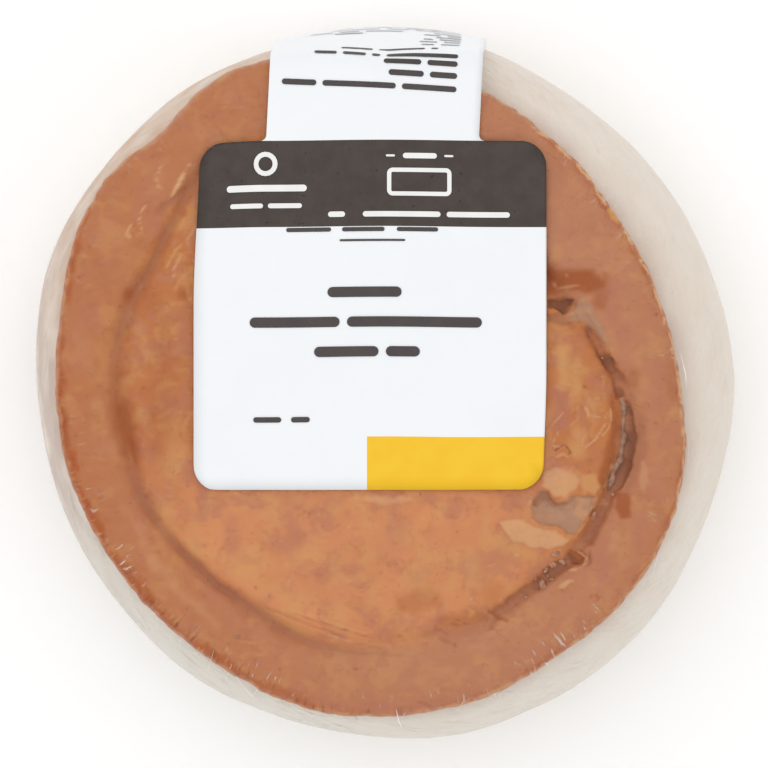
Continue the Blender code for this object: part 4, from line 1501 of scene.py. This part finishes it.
@dataclass(frozen=True)
class Crumbs:
    """The crumbs of pastry and jelly that lie in the tear."""

    crumbs: tuple[tuple[float, ...], ...] = (
        (28.2, -27.0, 1.4, 1.0, 0.50, 30), (29.2, -28.2, 1.2, 0.9, 0.50, 120),
        (27.7, -28.8, 1.0, 0.9, 0.45, 0), (26.6, -29.6, 1.0, 0.7, 0.45, 60),
        (24.9, -31.0, 0.8, 0.6, 0.40, 20), (27.6, -31.2, 0.7, 0.5, 0.35, 0),
        (23.3, -34.0, 0.8, 0.5, 0.35, 140), (34.6, -20.4, 0.8, 0.5, 0.40, 70),
        (26.1, -32.0, 2.2, 0.9, 0.60, 93), (39.1, -1.7, 1.0, 0.7, 0.60, 80),
        (37.6, -17.2, 0.6, 0.4, 0.40, 20), (35.9, 5.2, 0.4, 0.3, 0.30, 0),
        (31.6, -12.4, 0.5, 0.4, 0.20, 50), (34.2, -23.2, 0.5, 0.3, 0.30, 10),
        (27.0, -30.6, 0.4, 0.3, 0.25, 0), (-24.0, -40.6, 0.4, 0.3, 0.20, 0),
    )  # across, along, length, width and height, and the turn in degrees
    sunk: float = 0.25 * MM

    def build(self) -> Piece:
        """All the crumbs as one mesh."""
        cage = bmesh.new()
        for x, y, length, width, height, turned in self.crumbs:
            size = Matrix.Diagonal((length / 2 * MM, width / 2 * MM, height / 2 * MM, 1.0))
            top = float(TOP.height(np.array([x * MM]), np.array([y * MM]))[0])
            level = top - self.sunk + height * MM / 3
            spot = Matrix.Translation(Vector((x * MM, y * MM, level)) + Vector(MIDDLE))
            turn = Matrix.Rotation(math.radians(turned), 4, "Z")
            bmesh.ops.create_icosphere(cage, subdivisions=3, radius=1.0, matrix=spot @ turn @ size)
        piece = Piece("crumbs", cage)
        piece.raise_along_normals(0.30 * MM * Grain(0.7 * MM, 52, 3).at(piece.points))
        return piece


# ---------------------------------------------------------------- film


@dataclass(frozen=True)
class FilmWrap:
    """The clear film: pulled tight over rim and belly, and gathered under the base."""

    steps: int = 480
    rows: int = 150
    sections: int = 240
    stand_off: float = 0.10 * MM
    pleats: int = 46
    pleat_height: float = 0.20 * MM
    ridge_height: float = 0.20 * MM

    def _section(self, bearing: float) -> Array:
        """The taut section at a bearing: radius and height at even shares of its length."""
        turns = np.linspace(math.pi, 0.0, 40)
        rim = np.column_stack(FORM.rim(np.full_like(turns, bearing), turns))
        turns = np.linspace(FORM.side_turn, -math.pi / 2, 44)
        side = np.column_stack(FORM.side(np.full_like(turns, bearing), turns))
        radii = np.linspace(0.0, float(FORM.crease.at(np.array([bearing]))[0]), 30, endpoint=False)
        lid = np.column_stack((radii, FORM.dome(np.full_like(radii, bearing), radii)))
        path = np.vstack((taut(np.vstack((lid, rim, side))), (0.0, 0.0)))
        return spread_along(path, np.linspace(0.0, runs_along(path)[-1], self.rows + 1))

    def build(self) -> Piece:
        """The film's mesh, with its haze, folds and whiskers."""
        cage, row, bearing = globe(self.steps, self.rows)
        table = np.array([self._section(TAU * step / self.sections) for step in range(self.sections)])
        column = np.remainder(bearing, TAU) / TAU * self.sections
        first = np.floor(column).astype(int) % self.sections
        part = (column - np.floor(column))[:, None]
        index = (self.rows - row).astype(int)
        path = table[first, index] * (1 - part) + table[(first + 1) % self.sections, index] * part
        radius, height = path.T
        piece = Piece("film", cage)
        piece.points = placed(bearing, radius, height)
        at = piece.points
        flat = height < 0.3 * MM
        side = smooth(0.90, 0.78, height / FORM.lid_height) * ~flat
        slanted = np.column_stack((bearing * 0.055 + at[:, 2] * 1.4, at[:, 2] * 0.2, radius * 0.2))
        ridge = smooth(0.5, 1.0, 1 - np.abs(Grain(2.4 * MM, 71, 3).at(slanted)) * 3)
        ridge *= smooth(-0.3, 0.5, Grain(16 * MM, 72).at(at))
        pleat = np.abs(np.sin(bearing * self.pleats / 2 + 2 * Grain(12 * MM, 74).at(at)))
        ridge *= self.ridge_height * side * (0.3 + 0.7 * STREAKED.at(bearing))
        piece.raise_along_normals(np.where(flat, 0.0, self.stand_off + ridge))
        points = piece.points
        gathered = 0.02 * MM + self.pleat_height * pleat * smooth(0.0, 0.01, radius)
        points[:, 2] = np.where(flat, gathered, points[:, 2])
        piece.points = points
        # where the film's painted sheen shows: haze past the lip, folds down the side, both in the pleats
        # under the base, and whiskers near the lip
        past = radius - FORM.lip.at(bearing)
        low = smooth(-1.5 * MM, 0.5 * MM, past) * ~flat
        haze = HAZE.at(bearing) * low * (0.75 + 0.5 * Grain(6 * MM, 75).at(at))
        piece.keep("haze", haze + 0.25 * flat * pleat)
        amount = (0.12 + 0.65 * STREAKED.at(bearing)) * (1 - 0.6 * TANNED.at(bearing)) * side + 0.35 * flat
        piece.keep("folds", amount * (0.7 + 0.6 * Grain(14 * MM, 76).at(at)))
        near = smooth(0.80, 0.88, height / FORM.lid_height) * smooth(-4.5 * MM, -2.0 * MM, past)
        piece.keep("whiskers", near * WHISKERS.at(bearing) * smooth(-0.1, 0.3, Grain(7 * MM, 77).at(at)))
        return piece


HAZE = Around({95: 0.0, 105: 0.08, 131: 0.12, 155: 0.08, 185: 0.0, 270: 0.0})
WHISKERS = Around({
    -170: 0.2, -150: 0.5, -125: 0.8, -100: 0.9, -70: 0.7, -50: 0.4, -20: 0.3, 60: 0.15, 90: 0.1, 160: 0.1,
})


@dataclass(frozen=True)
class FilmStrands:
    """The thin pulled strands of film that catch the light along the lip."""

    lines: tuple[tuple[tuple[float, float], ...], ...] = (
        ((-30.4, -43.5), (-27.6, -45.6), (-25.8, -47.1)),
        ((-24.9, -45.9), (-23.9, -47.7), (-22.1, -50.0), (-20.1, -51.5)),
        ((-18.1, -50.2), (-15.3, -51.7), (-14.2, -52.3)), ((-14.5, -52.1), (-12.2, -53.3), (-8.9, -54.0)),
        ((-13.5, -54.5), (-12.0, -55.1)), ((-8.3, -53.3), (-6.9, -54.0), (-3.5, -55.2)),
        ((-4.4, -53.4), (-3.6, -54.3)), ((2.0, -52.5), (2.4, -54.4), (3.0, -55.8)),
        ((3.5, -53.0), (3.0, -54.0)), ((-1.3, -54.4), (0.0, -54.1)), ((5.9, -55.2), (8.1, -55.3)),
        ((-28.0, -42.8), (-29.0, -46.2)), ((-20.4, -48.4), (-21.6, -50.6)), ((13.2, -51.0), (12.0, -53.0)),
        ((25.4, -47.6), (23.6, -49.8)), ((45.2, -26.1), (44.6, -28.7), (43.9, -31.0)),
        ((47.2, -21.5), (45.9, -24.8)), ((48.7, 6.4), (49.6, 2.8), (49.8, 0.2)),
        ((50.2, -8.0), (50.0, -12.6)), ((-48.6, -24.4), (-46.0, -29.4)), ((-42.4, -34.6), (-39.0, -38.6)),
        ((-25.0, -45.0), (-26.4, -48.6)),
    )
    width: float = 0.24 * MM
    lift: float = 0.05 * MM

    def build(self, film: Piece) -> Piece:
        """All the strands as one mesh, laid on the film."""
        faces = [tuple(face.vertices) for face in film.mesh.polygons]
        tree = BVHTree.FromPolygons([tuple(point) for point in film.points], faces)

        def level(x: Array, y: Array) -> Array:
            """The film's height at places across and along."""
            starts = (Vector((px + MIDDLE[0], py + MIDDLE[1], 2 * FORM.lid_height)) for px, py in zip(x, y))
            drops = (tree.ray_cast(start, Vector((0, 0, -1)))[0] for start in starts)
            return np.array([drop.z if drop else FORM.lip_height for drop in drops]) + self.lift

        def strand(line: tuple[tuple[float, float], ...]) -> bmesh.types.BMesh:
            """One strand, thin at its ends."""
            widths = self.width * np.sin(np.linspace(0.25, 2.9, len(line)))
            cage, points = thread(np.column_stack((np.array(line) * MM, widths)), 6, 24, level)
            for vert, point in zip(cage.verts, points):
                vert.co = point
            return cage

        return Piece("film_strands", joined(strand(line) for line in self.lines))


# ---------------------------------------------------------------- label


@dataclass(frozen=True)
class LabelForm:
    """The flat label's sizes, and how it lies over the pie."""

    width: float = 0.058
    panel: float = 0.0576
    across: float = -0.0023
    front: float = -0.0164
    strip_width: float = 0.035
    strip_length: float = 0.0531
    strip_shift: float = 0.0004  # of the strip's middle from the panel's
    strip_lean: float = 0.05
    lean_end: float = 0.026  # how far down the strip it leans
    corner: float = 0.0042
    strip_corner: float = 0.0028
    neck: float = 0.0010
    lid_gap: float = 0.0004
    side_gap: float = 0.0007
    stiffness: float = 0.86
    pivot: float = 0.020  # a height inside every section
    thickness: float = 0.00018
    band: float = 0.0434  # from the panel's front to the dark band
    block_left: float = -0.0005
    block_depth: float = 0.0088
    columns: int = 60
    table_rows: int = 400

    @property
    def length(self) -> float:
        """The label's whole length."""
        return self.panel + self.strip_length

    @property
    def reach(self) -> float:
        """How far from the panel's middle line the leaning strip's table goes."""
        return self.width / 2

    def outline(self) -> list[tuple[float, float]]:
        """The flat outline, anticlockwise from the panel's right front corner."""
        half = self.width / 2
        left, right = self.strip_shift - self.strip_width / 2, self.strip_shift + self.strip_width / 2
        corners = (
            (half, 0.0, 270, self.corner), (half, self.panel, 0, self.corner),
            (right, self.panel, 270, -self.neck), (right, self.length, 0, self.strip_corner),
            (left, self.length, 90, self.strip_corner), (left, self.panel, 0, -self.neck),
            (-half, self.panel, 90, self.corner), (-half, 0.0, 180, self.corner),
        )
        return [point for x, y, start, radius in corners for point in rounded_corner(x, y, start, radius)]

    def drawn_in(self, flat: Array) -> Array:
        """Flat points, with the corners that bend down over the rim drawn in a little.

        Args:
            flat: rows of across and run.
        Returns:
            The same rows, moved.
        """
        back = smooth(0.017, 0.030, -flat[:, 0]) * smooth(0.030, 0.058, flat[:, 1])
        front = smooth(0.010, 0.029, flat[:, 0]) * smooth(0.020, 0.0, flat[:, 1])
        return flat + np.column_stack((1.0 * back - 0.5 * front, 0.25 * front - 0.5 * back)) * MM

    def leant(self, flat: Array) -> Array:
        """How far across from the panel's middle line flat points lie, once the strip leans."""
        return flat[:, 0] + self.strip_lean * np.clip(flat[:, 1] - self.panel, 0, self.lean_end)

    def _section(self, x: float) -> list[tuple[float, float]]:
        """The pie's outline in the plane at x, from the label's front edge to the base: rows of y and z."""
        rows: list[tuple[float, float]] = []
        crease = self._depth(x, FORM.crease.at)
        for y in np.linspace(self.front, crease, 40, endpoint=False):
            bearing, radius = np.array([math.atan2(y, x)]), np.array([math.hypot(x, y)])
            rows.append((y, FORM.dome(bearing, radius)[0] + self.lid_gap))
        stretches = (
            (FORM.rim, math.pi, 0.0, self.lid_gap),
            (FORM.side, FORM.side_turn, -math.pi / 2, self.side_gap),
        )
        for surface, start, end, gap in stretches:
            for turn in np.linspace(start, end, 41):
                angle = np.array([turn])
                y = self._depth(x, lambda bearing: surface(bearing, angle)[0] + gap)
                rows.append((y, surface(np.array([math.atan2(y, x)]), angle)[1][0] + gap * math.sin(turn)))
        return rows

    def _line(self, x: float) -> Array:
        """The taut line that the stiff label follows at x, over the fuller of the pie's two sides there."""
        rows = self._section(x * self.stiffness) + self._section(-x * self.stiffness)
        return taut(np.array(sorted(rows, key=lambda row: -math.atan2(row[1] - self.pivot, row[0]))))

    @staticmethod
    def _depth(x: float, radius_of: Callable[[Array], Array]) -> float:
        """The Y at which a surface at a radius from the axis meets the plane at x."""
        y = FORM.belly.mean
        for _ in range(6):
            radius = float(radius_of(np.array([math.atan2(y, x)]))[0])
            y = math.sqrt(max(radius * radius - x * x, 0.0))
        return y

    def table(self) -> Array:
        """Where the label lies: y and z for each of its columns, at even runs along it."""
        runs = np.linspace(0.0, self.length, self.table_rows + 1)
        places = np.linspace(-self.reach, self.reach, self.columns + 1)
        return np.array([spread_along(self._line(place + self.across), runs) for place in places])


@dataclass(frozen=True)
class Drape:
    """Lays flat points of the label over the pie."""

    form: LabelForm
    table: Array = field(repr=False)

    def at(self, flat: Array, lift: float) -> Array:
        """The places of flat points.

        Args:
            flat: rows of across and run, in the flat label's own frame.
            lift: how far they stand above the label's underside.
        Returns:
            Their places in the frame.
        """
        form = self.form
        flat = form.drawn_in(flat)
        across = form.leant(flat)
        column = np.clip((across / form.reach + 1) / 2 * form.columns, 0, form.columns - 1e-6)
        row = np.clip(flat[:, 1] / form.length * form.table_rows, 0, form.table_rows - 1e-6)
        i, j = column.astype(int), row.astype(int)
        u, v = (column - i)[:, None], (row - j)[:, None]
        ends = [self.table[i + side, j + step] for side in (0, 1) for step in (0, 1)]
        near, far = ends[0] * (1 - v) + ends[1] * v, ends[2] * (1 - v) + ends[3] * v
        way = (ends[1] - ends[0]) * (1 - u) + (ends[3] - ends[2]) * u
        way /= np.linalg.norm(way, axis=1)[:, None]
        place = near * (1 - u) + far * u + lift * np.column_stack((-way[:, 1], way[:, 0]))
        return np.column_stack((across + form.across, place)) + MIDDLE


def rounded_corner(
    x: float, y: float, start: float, radius: float, steps: int = 8
) -> list[tuple[float, float]]:
    """The points of one rounded corner of a flat outline.

    Args:
        x: the sharp corner's place across.
        y: its place along.
        start: the bearing, in degrees, at which the arc starts.
        radius: the arc's radius, under 0 for an inside corner.
        steps: the arc's stretches.
    Returns:
        The arc's points, in order.
    """
    sweep, radius = math.copysign(90, radius), abs(radius)
    middle = math.radians(start + sweep / 2)
    x -= math.copysign(radius, math.cos(middle))
    y -= math.copysign(radius, math.sin(middle))
    bearings = [math.radians(start + sweep * step / steps) for step in range(steps + 1)]
    return [(x + radius * math.cos(at), y + radius * math.sin(at)) for at in bearings]


def cut_across(sheet: bmesh.types.BMesh, axis: int, places: list[float]) -> None:
    """Cuts a flat sheet with a plane across an axis at each place.

    Args:
        sheet: the sheet.
        axis: 0 or 1.
        places: where along the axis.
    """
    normal = Vector((0.0, 0.0, 0.0))
    normal[axis] = 1.0
    for place in places:
        geometry = sheet.verts[:] + sheet.edges[:] + sheet.faces[:]
        bmesh.ops.bisect_plane(sheet, geom=geometry, plane_co=normal * place, plane_no=normal, dist=1e-7)


class Ink(Enum):
    """The label's fields, by material index."""

    PAPER = 0
    BAND = 1
    YELLOW = 2


@dataclass(frozen=True)
class LabelSheet:
    """The label's paper: white, with a dark band at the back and a yellow block at the front."""

    drape: Drape
    pitch: float = 2.4 * MM
    fine_pitch: float = 1.0 * MM
    fine_runs: tuple[float, float] = (0.056, 0.080)

    def build(self) -> Piece:
        """The label's sheet, its faces sorted by field."""
        form = self.drape.form
        sheet = bmesh.new()
        sheet.faces.new([sheet.verts.new((x, y, 0.0)) for x, y in form.outline()])
        half, (low, high) = form.width / 2, self.fine_runs
        cut_across(sheet, 1, [form.block_depth, form.band, form.panel])
        for start, end, pitch in (
            (self.pitch, low, self.pitch), (low, high, self.fine_pitch), (high, form.length, self.pitch),
        ):
            cut_across(sheet, 1, list(np.arange(start, end, pitch)))
        cut_across(sheet, 0, [form.block_left, *np.arange(-half + self.pitch, half, self.pitch)])
        for face in sheet.faces:
            x, y = face.calc_center_median().xy
            if form.band < y < form.panel:
                face.material_index = Ink.BAND.value
            elif x > form.block_left and y < form.block_depth:
                face.material_index = Ink.YELLOW.value
        piece = Piece("label_sheet", sheet)
        flat = piece.points
        lift = 0.05 * MM * Grain(14 * MM, 81).at(flat)
        points = self.drape.at(flat[:, :2], 0.0)
        points[:, 2] += lift
        piece.points = points
        solid = piece.body.modifiers.new("thickness", "SOLIDIFY")
        solid.thickness = form.thickness
        solid.offset = 1.0
        return piece


class Print(Enum):
    """What the label's print is made with, by material index."""

    DARK = 0
    WHITE = 1
    GREY = 2


@dataclass(frozen=True)
class Bar:
    """A plain rounded bar: its left end, its middle line, its length and its height."""

    ink: Print
    x: float
    y: float
    length: float
    height: float
    hollow: float = 0.0  # the width of its line, where it is only an outline


@dataclass(frozen=True)
class LabelPrint:
    """Plain bars and shapes where the label is printed."""

    drape: Drape
    stand_off: float = 0.09 * MM
    pitch: float = 1.0 * MM
    title: tuple[tuple[float, ...], ...] = (
        (-7.0, 32.6, 12.2, 1.7), (-19.8, 27.7, 14.8, 1.7), (-3.8, 27.7, 22.2, 1.7),
        (-9.2, 22.8, 10.6, 1.7), (2.6, 22.8, 5.6, 1.7), (-19.2, 11.7, 4.6, 0.9), (-13.0, 11.7, 3.1, 0.9),
        (-13.8, 42.9, 7.4, 0.7), (-4.6, 42.9, 7.0, 0.7), (4.4, 42.9, 6.8, 0.7), (-5.0, 41.1, 10.8, 0.35),
    )
    band: tuple[tuple[float, ...], ...] = (
        (-24.0, 49.8, 13.6, 1.1), (-23.3, 46.9, 5.7, 0.8), (-16.8, 46.9, 5.6, 0.8), (2.6, 55.0, 1.5, 0.35),
        (5.4, 55.0, 5.6, 0.9), (12.2, 55.0, 1.5, 0.35), (2.8, 50.7, 10.6, 4.6, 0.7),
        (-6.9, 45.4, 2.8, 0.9), (-1.2, 45.4, 12.8, 0.9), (12.6, 45.4, 10.4, 0.9),
        (-19.2, 53.8, 4.0, 4.0, 0.8),
    )
    strip_left: float = 13.8
    strip_start: float = 0.0667
    word_gap: float = 1.0
    small: float = 0.6  # the height of the small rows, printed in grey
    strip_rows: tuple[tuple[float, ...], ...] = (
        (66.65, 0.95, 9.0, 12.1, 5.7), (68.85, 0.95, 4.5, 5.8), (70.8, 0.9, 5.0, 6.2),
        (72.2, 0.8, 11.8, 1.4, 3.8, 3.7), (75.2, 0.8, -2.4, 1.2, 7.6, 5.2), (78.4, 0.6, 3.2, 2.2),
        (80.6, 0.6, 2.8, 3.0), (82.6, 0.6, 3.6, 1.6), (84.4, 0.6, 4.2), (86.2, 0.6, 2.4, 2.8, -8.0, 4.8),
        (88.2, 0.6, 4.6, -3.0, 6.2, 3.4, 3.8), (91.0, 0.6, 7.6, 3.8, 8.0), (92.8, 0.6, 5.2, 3.0),
        (95.2, 0.6, 9.2, 6.4, 2.6), (97.0, 0.6, 6.2, 3.4, 5.0), (98.8, 0.6, 8.0, 4.8),
    )  # how far along the label each row of words lies, its height, and its words' lengths, under 0 for a gap

    def _bars(self) -> list[Bar]:
        """Every bar, those of the strip's rows with them."""
        bars = [Bar(Print.DARK, *sizes) for sizes in self.title]
        bars += [Bar(Print.WHITE, *sizes) for sizes in self.band]
        for run, height, *lengths in self.strip_rows:
            right = self.strip_left
            for length in lengths:
                if length > 0:
                    ink = Print.DARK if height > self.small else Print.GREY
                    bars.append(Bar(ink, right - length, run, length, height))
                right -= abs(length) + self.word_gap
        return bars

    def _shape(self, bar: Bar) -> bmesh.types.BMesh:
        """One bar as a flat mesh, cut finely enough to bend."""
        x, y, length, height = bar.x * MM, (bar.y - bar.height / 2) * MM, bar.length * MM, bar.height * MM
        radius = min(height, length) / 2 * (0.999 if bar.hollow == 0 or bar.length == bar.height else 0.4)
        ends = ((x + length, y, 270), (x + length, y + height, 0), (x, y + height, 90), (x, y, 180))
        edge = [point for px, py, start in ends for point in rounded_corner(px, py, start, radius, 5)]
        shape = bmesh.new()
        shape.faces.new([shape.verts.new((*point, 0.0)) for point in edge])
        bmesh.ops.remove_doubles(shape, verts=shape.verts, dist=0.02 * MM)
        shape.normal_update()
        if bar.hollow:
            width = bar.hollow * MM
            bmesh.ops.inset_individual(shape, faces=shape.faces[:], thickness=width, use_even_offset=True)
            inner = max(shape.faces, key=lambda face: len(face.verts))
            bmesh.ops.delete(shape, geom=[inner], context="FACES")
        for axis, start, end in ((0, x, x + length), (1, y, y + height)):
            first = math.ceil(start / self.pitch) * self.pitch
            cut_across(shape, axis, list(np.arange(first, end, self.pitch)))
        for face in shape.faces:
            face.material_index = bar.ink.value
        return shape

    def build(self) -> Piece:
        """All the print as one mesh."""
        piece = Piece("label_print", joined(self._shape(bar) for bar in self._bars()))
        flat = piece.points[:, :2]
        rows = flat[:, 1] > self.strip_start - 2 * MM
        flat[:, 1] -= rows * self.drape.form.strip_lean * flat[:, 0]
        piece.points = self.drape.at(flat, self.drape.form.thickness + self.stand_off)
        return piece


# ---------------------------------------------------------------- studio


@dataclass(frozen=True)
class Studio:
    """A plain pale floor, plain soft light and a camera straight above."""

    aim: tuple[float, float] = (0.0, 1.0 * MM)  # from the pie's axis
    distance: float = 5.0
    field_width: float = 0.1267
    sharp_height: float = 0.033
    floor_size: float = 3.0
    floor_glow: float = 0.10
    sky: float = 0.86

    def build(self, effects: Effects) -> None:
        """Makes the floor, the lights and the camera."""
        self._floor(effects)
        self._light("overhead", (-0.15, 0.20, 0.9), 0.8, 1.6)
        world = bpy.data.worlds.new("studio")
        world.use_nodes = True
        sky = world.node_tree.nodes["Background"]
        sky.inputs["Color"].default_value = (1.0, 1.0, 1.0, 1.0)
        sky.inputs["Strength"].default_value = self.sky
        scene = bpy.context.scene
        scene.world = world
        scene.view_settings.view_transform = "Standard"
        lens = bpy.data.cameras.new("camera")
        lens.sensor_width = 36.0
        lens.lens = lens.sensor_width * (self.distance - self.sharp_height) / self.field_width
        camera = bpy.data.objects.new("camera", lens)
        camera.location = (MIDDLE[0] + self.aim[0], MIDDLE[1] + self.aim[1], self.distance)
        scene.collection.objects.link(camera)
        scene.camera = camera

    def _floor(self, effects: Effects) -> None:
        """The floor, just under the part."""
        sheet = bmesh.new()
        bmesh.ops.create_grid(sheet, x_segments=1, y_segments=1, size=self.floor_size / 2)
        bmesh.ops.translate(sheet, vec=(0, 0, -0.1 * MM), verts=sheet.verts)
        piece = Piece("floor", sheet)
        white = (0.97, 0.97, 0.97)
        finish = PlainFinish("floor", white, white, 0.8).material(effects)
        shader = finish.node_tree.nodes["Principled BSDF"]
        shader.inputs["Emission Color"].default_value = (1.0, 1.0, 1.0, 1.0)
        shader.inputs["Emission Strength"].default_value = self.floor_glow
        piece.mesh.materials.append(finish)

    @staticmethod
    def _light(name: str, at: Row, size: float, power: float) -> None:
        """A square soft light that faces the part."""
        data = bpy.data.lights.new(name, "AREA")
        data.size = size
        data.energy = power
        light = bpy.data.objects.new(name, data)
        light.location = at
        light.rotation_euler = Vector(at).to_track_quat("Z", "Y").to_euler()
        light.visible_camera = False
        bpy.context.scene.collection.objects.link(light)


def main() -> None:
    """Builds the pieces in order, and reports each."""
    logging.basicConfig(level=logging.INFO, format="%(asctime)s %(message)s")
    effects = Effects.made()
    jelly, crumb, strand = (PlainFinish(*finish).material(effects) for finish in LOOSE_FINISHES)
    PaleSide().build().dress(Slot.CRUST, "pie", PaleDough().material(effects))
    TopCrust().build().dress(Slot.CRUST, "pie", Glaze().material(effects))
    JellyThread().build().dress(Slot.CRUST, "pie", jelly)
    Crumbs().build().dress(Slot.CRUST, "pie", crumb)
    film = FilmWrap().build()
    film.dress(Slot.CRUST, "pie", ClearFilm().material(effects))
    FilmStrands().build(film).dress(Slot.CRUST, "pie", strand)
    form = LabelForm()
    drape = Drape(form, form.table())
    for piece, finishes in ((LabelSheet(drape), PAPERS), (LabelPrint(drape), INKS)):
        materials = (PlainFinish(*finish).material(effects) for finish in finishes)
        piece.build().dress(Slot.LABEL, "label", *materials)
    Studio().build(effects)


if __name__ == "__main__":
    main()
